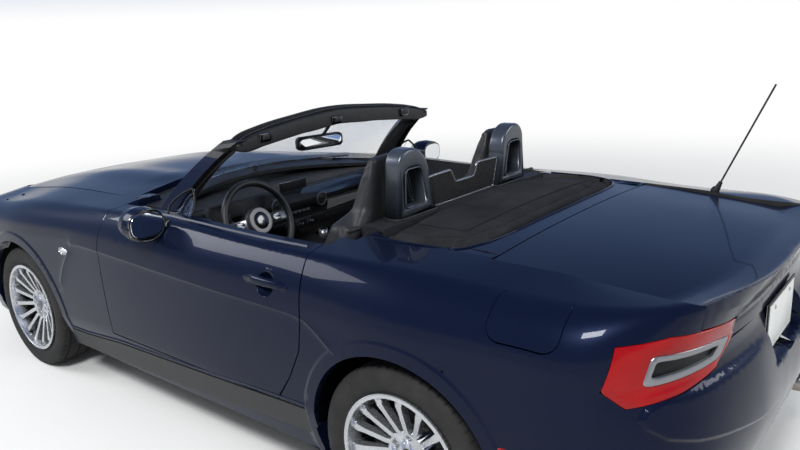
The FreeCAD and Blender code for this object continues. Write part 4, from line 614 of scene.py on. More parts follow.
class Reference:
    """Nearest points and smooth normals on a set of grids."""

    def __init__(self, grids, outward):
        points, normals, faces = [], [], []
        start = 0
        for grid in grids:
            grid = grid * MM
            du = np.gradient(grid, axis=0)
            dv = np.gradient(grid, axis=1)
            normal = np.cross(du, dv)
            normal /= np.maximum(np.linalg.norm(normal, axis=2, keepdims=True), 1e-12)
            if (normal * outward(grid)).sum() < 0:
                normal = -normal
            n, k, _ = grid.shape
            index = np.arange(n * k).reshape(n, k) + start
            quads = np.stack([index[:-1, :-1], index[1:, :-1], index[1:, 1:], index[:-1, 1:]],
                             -1).reshape(-1, 4)
            faces += quads[:, [0, 1, 2]].tolist() + quads[:, [0, 2, 3]].tolist()
            points.append(grid.reshape(-1, 3))
            normals.append(normal.reshape(-1, 3))
            start += n * k
        self.points = np.concatenate(points)
        normals = np.concatenate(normals)
        _, same = np.unique(np.round(self.points / 2e-4).astype(int), axis=0, return_inverse=True)
        same = same.reshape(-1)
        total = np.zeros((same.max() + 1, 3))
        np.add.at(total, same, normals)
        normals = total[same]
        self.normals = normals / np.maximum(np.linalg.norm(normals, axis=1, keepdims=True), 1e-12)
        self.faces = faces
        self.tree = BVHTree.FromPolygons(self.points.tolist(), faces)

    def nearest(self, place):
        spot, _, index, distance = self.tree.find_nearest(place)
        a, b, c = self.faces[index]
        pa, pb, pc = self.points[a], self.points[b], self.points[c]
        v0, v1, v2 = pb - pa, pc - pa, np.array(spot) - pa
        d00, d01, d11 = v0 @ v0, v0 @ v1, v1 @ v1
        d20, d21 = v2 @ v0, v2 @ v1
        under = d00 * d11 - d01 * d01
        normal = self.normals[a]
        if abs(under) > 1e-18:
            wb = (d11 * d20 - d01 * d21) / under
            wc = (d00 * d21 - d01 * d20) / under
            normal = self.normals[a] * (1 - wb - wc) + self.normals[b] * wb + self.normals[c] * wc
        return spot, Vector(normal).normalized(), distance


def from_axis(grid):
    """Roughly outwards: away from the car's long axis at half height."""
    away = grid.copy()
    away[..., 0] = np.sign(grid[..., 0]) * np.maximum(np.abs(grid[..., 0]) - 1.5, 0) * 2
    away[..., 2] -= 0.45
    return away


def upwards(grid):
    way = np.zeros_like(grid)
    way[..., 2] = 1
    way[..., 0] = -0.3
    return way


def other_side(grids):
    return [grid * np.array([1, -1, 1]) for grid in grids]


left_grids = side_grids()
side_surface = Reference(left_grids + other_side(left_grids), from_axis)
hood_points = hood_grid()
hood_points[..., 2] += hood_rise(hood_points[..., 0], hood_points[..., 1])
hood_surface = Reference([hood_points], upwards)
tail_surface = Reference(tail_grids(), upwards)

# Raised lines of the side, as (x, z) in metres
CREASE = ((0.600, 0.712), (0.518, 0.716), (0.352, 0.714), (0.0, 0.704), (-0.40, 0.694), (-0.760, 0.690),
          (-0.826, 0.682), (-0.868, 0.660), (-0.931, 0.618))
HOOK = ((0.636, 0.668), (0.660, 0.640), (0.705, 0.585), (0.747, 0.515))
# Edge of the rear bumper's lobe below the lamp, as (along, height) seen from the car's corner
LOBE = ((0.62, 0.700), (0.540, 0.676), (0.482, 0.663), (0.449, 0.650), (0.432, 0.6265), (0.445, 0.604),
        (0.4965, 0.573), (0.585, 0.551), (0.735, 0.524), (0.9175, 0.485), (1.30, 0.420))
# Height of the crease over the smooth side, and how far it fades above and below its line
CREASE_HEIGHT, CREASE_ABOVE, CREASE_BELOW = 0.0036, 0.007, 0.026
# The lip round a wheel arch and the step of the lobe
ARCH_LIP, ARCH_HEIGHT, LOBE_HEIGHT = 0.386, 0.0045, 0.0090
# Lengths of a panel's triangles: anywhere, at an arch lip and the recess, at a crease, at the lobe's edge
COARSE, FINE_ARCH, FINE_CREASE, FINE_LOBE = 0.024, 0.007, 0.006, 0.008
# The rear bumper's recess behind the plate: its plane, half width, lower and upper edge, corner and wall
RECESS_X, RECESS_HALF, RECESS_LOW, RECESS_HIGH = -1.972, 0.190, 0.572, 0.760
RECESS_CORNER, RECESS_WALL = 0.020, 0.010
FLAP_PLACE = Vector((-1.564, 0.776, 0.824))
FLAP_UP = Vector((0, -70, 117)).normalized()
FLAP_OUT = Vector((-1, 0, 0)).cross(FLAP_UP)
FLAP_HALF, FLAP_CORNER = (0.103, 0.084), 0.046
HANDLE_PLACE = (-0.640, 0.766)


def ease(value, low, high):
    t = min(max((value - low) / (high - low), 0), 1)
    return t * t * (3 - 2 * t)


def lamp_along(place):
    """Distance along the view from a rear corner of the car, turned 35 degrees from behind."""
    turn = math.radians(35)
    return -place.x * math.sin(turn) - abs(place.y) * math.cos(turn)


def line_distance(x, z, line):
    """Signed distance from a chain of points: positive above it."""
    best = None
    for (ax, az), (bx, bz) in zip(line, line[1:]):
        dx, dz = bx - ax, bz - az
        t = min(max(((x - ax) * dx + (z - az) * dz) / (dx * dx + dz * dz), 0), 1)
        px, pz = x - ax - t * dx, z - az - t * dz
        d = math.hypot(px, pz)
        if best is None or d < abs(best):
            best = math.copysign(d, dx * pz - dz * px)
    return best


def flap_edge(place):
    """Signed distance from the fuel flap's outline, negative inside, or far away."""
    local = place - FLAP_PLACE
    if abs(local.x) > 0.2 or local.dot(FLAP_OUT) > 0.06 or local.dot(FLAP_OUT) < -0.05:
        return 1.0
    u, v = abs(local.x) - FLAP_HALF[0] + FLAP_CORNER, abs(local.dot(FLAP_UP)) - FLAP_HALF[1] + FLAP_CORNER
    return math.hypot(max(u, 0), max(v, 0)) + min(max(u, v), 0) - FLAP_CORNER


def relief(place):
    """Height of the raised lines over the smooth body, in metres."""
    height = 0.0
    if abs(place.y) > 0.6 and place.z > 0.16:
        for axle in (FRONT_AXLE, REAR_AXLE):
            reach = math.hypot(place.x - axle, place.z - TYRE_RADIUS)
            if reach < 0.42:
                height += ARCH_HEIGHT * (1 - ease(reach, ARCH_LIP - 0.008, ARCH_LIP + 0.008))
    if abs(place.y) > 0.78 and -1.0 < place.x < 0.85 and 0.45 < place.z < 0.78:
        for line, low, high in ((CREASE, 0.66, 0.58), (HOOK, 0.80, 0.76)):
            d = line_distance(place.x, place.z, line)
            fade = 1 - ease(place.x, high, low)
            height += CREASE_HEIGHT * math.exp(-abs(d) / (CREASE_ABOVE if d > 0 else CREASE_BELOW)) * fade
    if place.x < -1.70 and 0.42 < place.z < 0.70:
        along = lamp_along(place)
        d = line_distance(along, place.z, LOBE)
        fade = (1 - ease(along, 0.86, 1.08)) * (1 - ease(place.z, 0.655, 0.685))
        height += LOBE_HEIGHT * ease(d, -0.006, 0.008) * fade
    return height


def recess_edge(place):
    """Signed distance from the edge of the plate's recess, negative inside, or far away."""
    if place.x > -1.90:
        return 1.0
    u = abs(place.y) - RECESS_HALF + RECESS_CORNER
    v = abs(place.z - (RECESS_LOW + RECESS_HIGH) / 2) - (RECESS_HIGH - RECESS_LOW) / 2 + RECESS_CORNER
    return math.hypot(max(u, 0), max(v, 0)) + min(max(u, v), 0) - RECESS_CORNER


def fine(place):
    """Length of a panel's triangles at a place."""
    if place.z < 0.741 and -0.016 < recess_edge(place) < 0.006:
        return FINE_ARCH
    if abs(place.y) > 0.6:
        for axle in (FRONT_AXLE, REAR_AXLE):
            if abs(math.hypot(place.x - axle, place.z - TYRE_RADIUS) - ARCH_LIP) < 0.014:
                return FINE_ARCH
        if abs(place.y) > 0.78 and -1.0 < place.x < 0.85 and 0.45 < place.z < 0.78:
            if min(abs(line_distance(place.x, place.z, line)) for line in (CREASE, HOOK)) < 0.018:
                return FINE_CREASE
    if place.x < -1.70 and 0.42 < place.z < 0.70:
        if abs(line_distance(lamp_along(place), place.z, LOBE)) < 0.022:
            return FINE_LOBE
    return COARSE


def untouched(face):
    """Faces that keep the CAD's form: the flap's groove, and the handle and its cup."""
    middle = face.calc_center_median()
    if -0.0043 < flap_edge(middle) < 0.0003:
        return True
    if abs(middle.x - HANDLE_PLACE[0]) > 0.12 or abs(middle.z - HANDLE_PLACE[1]) > 0.06:
        return False
    in_bar = all(abs(v.co.x - HANDLE_PLACE[0]) < 0.107 and abs(v.co.z - HANDLE_PLACE[1]) < 0.0195
                 for v in face.verts)
    in_cup = all(math.hypot(v.co.x - HANDLE_PLACE[0], v.co.z - HANDLE_PLACE[1]) < 0.0485 for v in face.verts)
    return in_bar or in_cup


def panel(node, body, references, key="paint", inner=None, reach=0.014):
    """A painted panel: the CAD panel's outline, refined and laid on the smooth surface with its lines."""
    bm = bmesh.new()
    bm.from_mesh(nodes[node].data)
    bmesh.ops.remove_doubles(bm, verts=bm.verts, dist=0.00002)
    bmesh.ops.triangulate(bm, faces=bm.faces)

    def nearest(place, facing):
        best = None
        total = Vector()
        for reference in references:
            spot, normal, distance = reference.nearest(place)
            if facing is None:
                if distance > 0.002:
                    continue
            elif normal.dot(facing) < 0.62:
                continue
            total += normal * math.exp(-distance / 0.003)
            if best is None or distance < best[2]:
                best = (spot, normal, distance)
        if best is None or best[2] > reach:
            return None
        if total.length > 1e-6:
            return best[0], total.normalized(), best[2]
        return best

    mark = bm.faces.layers.int.new("outer")
    bm.normal_update()
    own = BVHTree.FromBMesh(bm)

    def covered(face):
        """A bracket or rib that faces the same way behind the panel's own skin."""
        start = face.calc_center_median() + face.normal * 0.0005
        return own.ray_cast(start, face.normal, 0.06)[0] is not None

    for face in bm.faces:
        thin = 2 * face.calc_area() < 0.0004 * max(edge.calc_length() for edge in face.edges)
        kept = untouched(face) or (not thin and covered(face))
        found = None if kept else nearest(face.calc_center_median(), None if thin else face.normal)
        face[mark] = 1 if found else 0
    for _ in range(9):
        edges = [edge for edge in bm.edges if any(face[mark] for face in edge.link_faces)
                 and edge.calc_length() > fine((edge.verts[0].co + edge.verts[1].co) / 2)]
        if not edges:
            break
        bmesh.ops.subdivide_edges(bm, edges=edges, cuts=1)
        bmesh.ops.triangulate(bm, faces=bm.faces)
    bm.normal_update()
    bm.verts.index_update()
    moved = {}
    for face in bm.faces:
        if face[mark]:
            for vertex in face.verts:
                if moved.get(vertex) is None:
                    thin = 2 * face.calc_area() < 0.0004 * max(edge.calc_length() for edge in face.edges)
                    moved[vertex] = nearest(vertex.co, None if thin else face.normal)
    shading = {}
    for vertex, found in moved.items():
        if found is None:
            continue
        spot, normal, _ = found
        height = relief(spot)
        vertex.co = spot + normal * height
        sunk = ease(-recess_edge(vertex.co), 0, RECESS_WALL) if node == "rear_bumper" else 0
        if sunk > 0 and vertex.co.x < RECESS_X:
            vertex.co.x += (RECESS_X - vertex.co.x) * sunk
            continue
        if height > 1e-5:
            side = normal.cross(Vector((0, 0, 1))).normalized()
            other = normal.cross(side)
            step = 0.0015
            slope = side * (relief(spot + side * step) - relief(spot - side * step)) \
                + other * (relief(spot + other * step) - relief(spot - other * step))
            normal = (normal - slope / (2 * step)).normalized()
        shading[vertex.index] = normal
    bm.normal_update()
    mesh = bpy.data.meshes.new(node + "_panel")
    bm.to_mesh(mesh)
    outer_faces = [bool(face[mark]) for face in bm.faces]
    bm.free()
    smooth(mesh, 32)
    normals = [Vector(n.vector) for n in mesh.corner_normals]
    for polygon, is_outer in zip(mesh.polygons, outer_faces):
        if is_outer:
            for loop in polygon.loop_indices:
                normal = shading.get(mesh.loops[loop].vertex_index)
                if normal is not None and (polygon.area < 1e-7 or normal.dot(polygon.normal) > 0.4):
                    normals[loop] = normal
        elif inner and abs(polygon.center.y) < 0.80 and abs(polygon.normal.y) > 0.3 \
                and polygon.normal.y * polygon.center.y < 0:
            polygon.material_index = 1
    mesh.normals_split_custom_set(normals)
    piece = add(mesh.name, mesh, body, *([key, inner] if inner else [key]))
    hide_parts(node)
    return piece


panel("left_door", "left_door_body", [side_surface], inner="dash")
panel("right_door", "right_door_body", [side_surface], inner="dash")
panel("front_fenders", "car_body", [side_surface], inner="under")
panel("rear_quarters", "car_body", [side_surface, tail_surface], inner="under")
panel("front_bumper", "car_body", [side_surface], inner="under", reach=0.030)
panel("rear_bumper", "car_body", [side_surface], inner="under", reach=0.075)
panel("sills", "car_body", [side_surface])
panel("hood", "hood_panel", [hood_surface], reach=0.02)
panel("trunk_lid", "lid_panel", [tail_surface])


def on_body(x, z, side=1, out=0.0):
    """A place on the car's side at (x, z), moved out along the normal, with that normal."""
    spot = side_surface.tree.ray_cast(Vector((x, 1.2 * side, z)), Vector((0, -side, 0)))[0]
    normal = side_surface.nearest(spot)[1]
    return spot + normal * out, normal


def rounded_loop(corners, radius, per=6):
    """A closed chain of points through rounded corners."""
    points = []
    n = len(corners)
    for i in range(n):
        a, b, c = (np.array(corners[(i + k) % n]) for k in (-1, 0, 1))
        start = b + (a - b) / np.linalg.norm(a - b) * radius
        end = b + (c - b) / np.linalg.norm(c - b) * radius
        for t in np.linspace(0, 1, per):
            points.append(tuple((1 - t) ** 2 * start + 2 * t * (1 - t) * b + t * t * end))
    return points


# Sides: blade under the doors, sill lip, side markers, reflectors, opening lip of the soft top
SILL_LIP = ((0.79, 0.286), (0.631, 0.291), (0.341, 0.320), (-0.033, 0.336), (-0.544, 0.360), (-0.80, 0.372))
BLADE_LOW = ((0.79, 0.190), (0.703, 0.191), (0.304, 0.199), (-0.065, 0.217), (-0.335, 0.239), (-0.80, 0.262))


def level_on(line, x):
    xs, zs = zip(*line[::-1])
    return float(np.interp(x, xs, zs))


def patch(name, centre, outline, key, thick, side):
    """A lens or badge that follows the body: outline points about a centre, bulged in the middle."""
    rows = [(1.0, -0.003), (1.0, 0.0)]
    rows += [(math.cos(a), thick * math.sin(a)) for a in np.linspace(0.25, 1.45, 5)]
    x, z = centre
    rings = [[on_body(x + u * share, z + v * share, side, lift)[0] for u, v in outline]
             for share, lift in rows]
    return loft(name, rings, key, 50)


def oval(wide, high, count=24, power=2.4):
    """Points of a rounded rectangle between an ellipse and its box."""
    points = []
    for i in range(count):
        a = 2 * math.pi * i / count
        c, s = math.cos(a), math.sin(a)
        u = math.copysign(abs(c) ** (2 / power), c) * wide
        v = math.copysign(abs(s) ** (2 / power), s) * high
        points.append((u, v))
    return points


for side_name, side in SIDES:
    rings, lip = [], []
    for x in np.linspace(0.792, -0.805, 34):
        top = level_on(SILL_LIP, x) - 0.014
        low = level_on(BLADE_LOW, x)
        outer = [on_body(x, z, side, 0.0035) for z in np.linspace(top, low, 8)]
        inner = [on_body(x, z, side, -0.002) for z in np.linspace(low, top, 8)]
        rings.append([place for place, _ in outer] + [place for place, _ in inner])
        lip.append(on_body(x, level_on(SILL_LIP, x), side, 0.0005)[0])
    loft(side_name + "_sill_blade", rings, "plastic", 40)
    tube(side_name + "_sill_lip", lip, 0.0042, "paint")
    teardrop = []
    for a in np.linspace(0, 2 * np.pi, 25)[:-1]:
        c, s = math.cos(a), math.sin(a)
        teardrop.append((0.034 * c * (1.25 if c < 0 else 0.8), 0.0125 * s * (1 - 0.45 * max(-c, 0))))
    patch(side_name + "_side_marker", (0.680, 0.667), teardrop, "lens", 0.006, side)
    patch(side_name + "_rear_reflector", (-1.560, 0.471), oval(0.052, 0.012, power=3), "red", 0.004, side)
    ring = [on_body(0.680 + u * 1.12, 0.667 + v * 1.25, side, 0.0012)[0] for u, v in teardrop]
    tube(side_name + "_side_marker_rim", ring, 0.0016, "chrome", True)

OPENING_LIP = ((-0.905, 0.603, 0.876), (-1.003, 0.602, 0.882), (-1.110, 0.596, 0.889),
               (-1.190, 0.566, 0.893), (-1.236, 0.500, 0.897), (-1.258, 0.392, 0.901),
               (-1.266, 0.200, 0.906), (-1.268, 0, 0.908))
points = [Vector(p) for p in OPENING_LIP] + [Vector((x, -y, z)) for x, y, z in OPENING_LIP[-2::-1]]
lip = []
for place in points:
    spot, normal, distance = tail_surface.nearest(place)
    other = side_surface.nearest(place)
    lip.append((spot if distance < other[2] else other[0]) + Vector((0, 0, 0.001)))
tube("opening_lip", lip, 0.0035, "paint")


# Wheels: rims with their discs and hollow barrels, lug bolts, caps, treaded tyres and valves
def about_axle(axle):
    def polar(place):
        return math.hypot(place.x - axle, place.z - TYRE_RADIUS), abs(place.y)
    return polar


def tyre_mesh(name, axle, side, body, node):
    """A tyre with three grooves round it and cut shoulder blocks."""
    blocks = 60
    steps = blocks * 6
    profile = [(-0.081, 0.2045), (-0.085, 0.2155), (-0.0935, 0.235), (-0.0972, 0.256), (-0.0955, 0.274),
               (-0.0915, 0.2865), (-0.0885, 0.2930), (-0.0835, 0.2968), (-0.0750, 0.2992), (-0.0660, 0.2998)]
    tread = []
    for y in (-0.055, 0.0, 0.055):
        tread += [(y - 0.0052, 0.3002), (y - 0.0046, 0.2938), (y + 0.0046, 0.2938), (y + 0.0052, 0.3002)]
        if y < 0.05:
            tread += [(y + 0.0200, 0.3004), (y + 0.0350, 0.3004)]
    profile += tread + [(-y, r) for y, r in profile[::-1]]
    width = len(profile)
    radii = np.array([r for _, r in profile])
    across = np.array([y for y, _ in profile])
    angle = 2 * np.pi * np.arange(steps) / steps
    cut = (np.arange(steps) % 6 < 1)
    shoulder = (np.abs(across) > 0.064) & (np.abs(across) < 0.0930) & (radii > 0.2885)
    centre = (np.abs(np.abs(across) - 0.0275) < 0.012)
    grid = np.tile(radii, (steps, 1))
    grid[np.ix_(cut, shoulder)] -= 0.0040
    grid[np.ix_(np.roll(cut, 3), centre)] -= 0.0030
    rings = np.stack([axle + grid * np.cos(angle)[:, None],
                      side * HALF_TRACK + np.tile(across * side, (steps, 1)),
                      TYRE_RADIUS + grid * np.sin(angle)[:, None]], -1)
    index = np.arange(steps * width).reshape(steps, width)
    nxt = np.roll(index, -1, 0)
    faces = np.stack([index[:, :-1], nxt[:, :-1], nxt[:, 1:], index[:, 1:]], -1).reshape(-1, 4).tolist()
    faces += np.stack([index[:, -1], nxt[:, -1], nxt[:, 0], index[:, 0]], -1).tolist()
    mesh = bpy.data.meshes.new(name)
    mesh.from_pydata(rings.reshape(-1, 3).tolist(), [], faces)
    weld(mesh)
    smooth(mesh, 30)
    piece = add(name, mesh, body, "tyre")
    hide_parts(node)


for corner, axle, side in WHEELS:
    body = corner + "_wheel"
    polar = about_axle(axle)
    # The rim's barrel and its inboard side are silver alloy like the spokes; their dark colour is painted
    # shade inside the wheel
    recoloured(corner + "_rim", body, "alloy", (
        ("iron", lambda c, n, polar=polar: polar(c)[0] < 0.142 and 0.7125 < polar(c)[1] < 0.7375),
        ("dark_alloy_and_painted_shade", lambda c, n, polar=polar: polar(c)[0] > 0.183 and polar(c)[1] < 0.790
         and polar(c)[0] < 0.2045 and abs(n.y) < 0.7),
        ("dark_alloy_and_painted_shade", lambda c, n, polar=polar: polar(c)[1] < 0.7745),
    ), 28)
    tyre_mesh(corner + "_tyre_treaded", axle, side, body, corner + "_tyre")
    out = Vector((0, side, 0))
    hub = Vector((axle, 0, TYRE_RADIUS))
    turned(corner + "_cap", hub + out * 0.7855, out,
           ((0, 0.0308), (0.006, 0.0308), (0.0078, 0.0292), (0.0092, 0.0255), (0.0098, 0.0235),
            (0.0105, 0.0225), (0.0118, 0.0150), (0.0122, 0.0008)), "gloss", 36, body=body)
    for i in range(5):
        a = math.radians(72 * i + 90)
        spot = hub + Vector((0.054 * math.cos(a), 0, 0.054 * math.sin(a)))
        turned(f"{corner}_lug_{i + 1}", spot + out * 0.7695, out,
               ((0, 0.0064), (0.011, 0.0064), (0.0135, 0.0052), (0.0142, 0.0010)), "iron", 6,
               degrees=20, body=body)
    turned(corner + "_lip_ring", hub + out * 0.8385, out,
           ((0, 0.2085), (0.0045, 0.2105), (0.0062, 0.2130), (0.0055, 0.2150), (0.0020, 0.2152)), "alloy",
           96, hollow=True, body=body)
    a = math.radians(-60)
    spot = hub + Vector((0.186 * math.cos(a), 0, 0.186 * math.sin(a)))
    inward = Vector((-math.cos(a), 0, -math.sin(a)))
    tube(corner + "_valve", [spot + out * 0.815, spot + out * 0.828 + inward * 0.006,
                             spot + out * 0.838 + inward * 0.014], 0.0035, "rubber", body=body)


# Lamps
def inside(point, outline):
    x, y = point
    hit = False
    for (x0, y0), (x1, y1) in zip(outline, outline[1:] + outline[:1]):
        if (y0 > y) != (y1 > y) and x < (x1 - x0) * (y - y0) / (y1 - y0) + x0:
            hit = not hit
    return hit


def lamp_surface(along, height, side, out=0.0):
    """A place on the tail's surface from its (along, height)."""
    turn = math.radians(35)
    axis = Vector((-math.cos(turn), math.sin(turn) * side, 0))
    across = Vector((-math.sin(turn), -math.cos(turn) * side, 0))
    start = across * along + axis * 2.6
    start.z = height
    spot = side_surface.tree.ray_cast(start, -axis)[0]
    normal = side_surface.nearest(spot)[1]
    return spot + normal * out, normal


TAILLAMP = [(0.350, 0.692), (0.388, 0.800), (0.523, 0.813), (0.784, 0.790), (0.768, 0.738), (0.690, 0.690),
            (0.557, 0.670), (0.402, 0.652)]
LAMP_RING = rounded_loop([(0.446, 0.701), (0.474, 0.773), (0.750, 0.753), (0.704, 0.709)], 0.018)
LAMP_WINDOW = rounded_loop([(0.465, 0.719), (0.482, 0.759), (0.703, 0.743), (0.673, 0.723)], 0.009)
LAMP_MIDDLE = (0.585, 0.7380)


def reach_to(outline, degrees):
    """Distance from the lamp's middle to an outline in a direction."""
    way = (math.cos(math.radians(degrees)), math.sin(math.radians(degrees)))
    best = 0
    for a, b in zip(outline, outline[1:] + outline[:1]):
        px, pz = a[0] - LAMP_MIDDLE[0], a[1] - LAMP_MIDDLE[1]
        ex, ez = b[0] - a[0], b[1] - a[1]
        under = way[0] * ez - way[1] * ex
        if abs(under) > 1e-12:
            along, share = (px * ez - pz * ex) / under, (px * way[1] - pz * way[0]) / under
            if -1e-6 <= share <= 1 + 1e-6 and along > best:
                best = along
    return best


# Rows of a tail lamp from its edge to its middle. Columns: zone, share of the way across it, height over the
# body, material of the band that starts here
for side_name, side in SIDES:
    rows = [("edge", 1.0, -0.030, 0), ("edge", 1.0, -0.0015, 0), ("edge", 0.965, 0.0008, 0),
            ("edge", 0.75, 0.0018, 0), ("edge", 0.5, 0.0020, 0), ("edge", 0.25, 0.0016, 0),
            ("edge", 0.03, 0.0004, 1), ("edge", 0.0, 0.0030, 1), ("ring", 0.25, 0.0042, 1),
            ("ring", 0.75, 0.0040, 1), ("ring", 1.0, 0.0022, 1), ("ring", 1.02, -0.0060, 2),
            ("inner", 0.6, -0.0065, 2), ("inner", 0.25, -0.0068, 2), ("inner", 0.0, -0.0068, 2)]
    angles = np.arange(0, 360, 2.5)
    outer = [reach_to(TAILLAMP, a) - 0.0008 for a in angles]
    first = [reach_to(LAMP_RING, a) for a in angles]
    second = [reach_to(LAMP_WINDOW, a) for a in angles]
    verts, faces, bands = [], [], []
    for kind, share, out, band in rows:
        for a, r0, r1, r2 in zip(angles, outer, first, second):
            if kind == "edge":
                r = r1 + (r0 - r1) * share
            elif kind == "ring":
                r = r1 + (r2 - r1) * share
            else:
                r = r2 * share
            along = LAMP_MIDDLE[0] + r * math.cos(math.radians(a))
            height = LAMP_MIDDLE[1] + r * math.sin(math.radians(a))
            verts.append(tuple(lamp_surface(along, height, side, out)[0]))
    n = len(angles)
    for row in range(len(rows) - 1):
        for i in range(n):
            faces.append((row * n + i, row * n + (i + 1) % n, (row + 1) * n + (i + 1) % n,
                          (row + 1) * n + i))
            bands.append(rows[row][3])
    mesh = bpy.data.meshes.new(side_name + "_tail_lamp")
    mesh.from_pydata(verts, [], faces)
    for polygon, band in zip(mesh.polygons, bands):
        polygon.material_index = band
    weld(mesh)
    smooth(mesh, 40)
    piece = add(mesh.name, mesh, "car_body", "red", "silver", "screen")
    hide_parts("tail_lamps")

recoloured("headlamps", "car_body", "lens", (
    ("gloss", lambda c, n: n.x * 0.77 + abs(n.y) * 0.64 * (1 if n.y * c.y > 0 else -1) < 0.25),
), 25)


# Rear: plate with its holder, exhaust tips
def bordered_plate():
    x = -1.9795
    rounded_box("plate_holder", (x + 0.0012, 0, 0.661), (0.004, 0.326, 0.168), 0.0015, "plastic")
    rounded_box("plate_sheet", (x - 0.0012, 0, 0.661), (0.002, 0.302, 0.148), 0.0009, "plate")
    rim = rounded_loop([(-0.146, 0.592), (0.146, 0.592), (0.146, 0.730), (-0.146, 0.730)], 0.012)
    tube("plate_bead", [(x - 0.0022, y, z) for y, z in rim], 0.0009, "plate", True)
    for y in (-0.09, 0.09):
        turned(f"plate_screw_{'left' if y > 0 else 'right'}", (x - 0.0020, y, 0.716), (-1, 0, 0),
               ((0, 0.0062), (0.0015, 0.0060), (0.0026, 0.0045), (0.0028, 0.0004)), "steel", 20)


bordered_plate()
for side_name, side in SIDES:
    turned(side_name + "_pipe_lip", (-1.968, side * 0.470, 0.240), (-1, 0, 0),
           ((-0.030, 0.0305), (-0.030, 0.0350), (0.019, 0.0350), (0.0225, 0.0338), (0.0225, 0.0312),
            (0.019, 0.0302), (-0.030, 0.0300)), "exhaust", 40, hollow=True)


# Windscreen: body colour outside, black inside, seals, header ridges and latches
def outside_pillar(centre, normal):
    return centre.z < 1.10 and (normal.y * centre.y > 0.25 or normal.x > 0.45) and abs(centre.y) > 0.50


recoloured("windscreen_frame", "car_body", "plastic", (("paint", outside_pillar),), 35)
HEADER_ROWS = ((0.584, -0.242, 1.156, 0.030), (0.540, -0.236, 1.168, 0.052), (0.450, -0.226, 1.186, 0.062),
               (0.230, -0.212, 1.209, 0.066), (0.0, -0.206, 1.222, 0.066))


def header_ring(y):
    """Section of the header at a distance from the middle: (x, z) rounded and just over the CAD's."""
    rows = np.array(HEADER_ROWS)[::-1]
    at = abs(y)
    back, high, deep = (float(np.interp(at, rows[:, 0], rows[:, k])) for k in (1, 2, 3))
    corners = [(back - 0.0015, high - deep - 0.001), (back - 0.0015, high - 0.007),
               (back + 0.070, high + 0.0015),
               (back + 0.0975, high - 0.026), (back + 0.066, high - deep - 0.001)]
    return [(x, y, z) for x, z in rounded_loop(corners, 0.006, 4)]


loft("header_cover", [header_ring(y) for y in np.linspace(0.580, -0.580, 59)], "plastic", 30)
HEADER = ((0.572, -0.228, 1.156), (0.540, -0.221, 1.171), (0.450, -0.211, 1.189), (0.230, -0.197, 1.212),
          (0.0, -0.191, 1.225))
for index, (ahead, up) in enumerate(((0.006, 0.0015), (0.026, 0.0035), (0.044, 0.0052))):
    points = [(x + ahead, y, z - 0.0045 + up) for y, x, z in HEADER]
    points += [(x + ahead, -y, z - 0.0045 + up) for y, x, z in HEADER[-2::-1]]
    tube(f"header_ridge_{index + 1}", points, 0.0042, "rubber" if index == 1 else "plastic")
for name, y, x, z in (("left", 0.441, -0.226, 1.163), ("middle", 0.020, -0.207, 1.180),
                      ("right", -0.423, -0.226, 1.165)):
    rounded_box(f"header_latch_{name}", (x + 0.003, y, z - 0.004), (0.026, 0.060, 0.036), 0.005, "gloss",
                (0, math.radians(-12), 0))
    rounded_box(f"header_catch_{name}", (x - 0.010, y, z - 0.004), (0.010, 0.034, 0.018), 0.003, "iron",
                (0, math.radians(-12), 0))
for side_name, side in SIDES:
    points = [(0.058, side * 0.662, 0.880), (-0.002, side * 0.645, 0.942), (-0.056, side * 0.624, 1.000),
              (-0.150, side * 0.595, 1.080), (-0.243, side * 0.566, 1.150)]
    tube(side_name + "_pillar_seal", points, 0.0065, "rubber")

# Door mirrors and the cabin mirror
for side_name, side in SIDES:
    recoloured(side_name + "_door_mirror", side_name + "_door_body", "paint", (
        ("gloss", lambda c, n: n.x < -0.75 and c.x < -0.02),
        ("plastic", lambda c, n, side=side: c.z < 0.846 or c.y * side < 0.800),
    ), 40)
    box_low, box_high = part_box(side_name + "_door_mirror")
    middle = (box_low + box_high) / 2
    across = (box_high.y - box_low.y) / 2
    glass_centre = Vector((box_low.x - 0.0005, middle.y + side * 0.016, middle.z + 0.004))
    rings = []
    for share, back in ((1.0, 0.010), (1.0, 0.001), (0.93, 0.0)):
        rings.append([glass_centre + Vector((back, share * u, share * v))
                      for u, v in oval(across * 0.78, 0.050, 40, 2.9)])
    loft(side_name + "_mirror_bezel", rings, "gloss", 50, body=side_name + "_door_body")
    rings = [[glass_centre + Vector((-0.0005 - back, share * u, share * v))
              for u, v in oval(across * 0.72, 0.0445, 40, 2.9)]
             for share, back in ((1.0, 0.0), (0.985, 0.0012))]
    loft(side_name + "_mirror_glass", rings, "mirror", 50, body=side_name + "_door_body")

TURN = math.radians(-10)
place = Vector((-0.112, 0.035, 1.079)) + Vector((-math.cos(TURN), -math.sin(TURN), 0)) * 0.0125
rings = []
for share, back in ((1.0, 0.0), (0.985, 0.0010)):
    rings.append([place + Vector((math.sin(TURN) * -u * share, math.cos(TURN) * u * share, v * share))
                  + Vector((-math.cos(TURN), -math.sin(TURN), 0)) * back
                  for u, v in oval(0.110, 0.0235, 40, 4)])
recoloured("cabin_mirror", "car_body", "plastic", (), 40)
loft("cabin_mirror_glass", rings, "mirror", 50)

# Steering wheel: leather rim with silver lower part, silver spokes, plain hub with rings
COLUMN = math.radians(22)
WHEEL_PLACE = Vector((-0.047, 0.358, 0.781))
TO_DRIVER = Vector((-math.cos(COLUMN), 0, math.sin(COLUMN)))
WHEEL_UP = Vector((math.sin(COLUMN), 0, math.cos(COLUMN)))
WHEEL_LEFT = Vector((0, 1, 0))


def on_wheel(across, up, out=0.0):
    return WHEEL_PLACE + WHEEL_LEFT * across + WHEEL_UP * up + TO_DRIVER * out


def wheel_polar(place):
    local = place - WHEEL_PLACE
    return math.hypot(local.y, local.dot(WHEEL_UP)), math.degrees(math.atan2(local.dot(WHEEL_UP), local.y))


def silver_grip(centre, normal):
    reach, angle = wheel_polar(centre)
    return reach > 0.150 and -128 < angle < -52


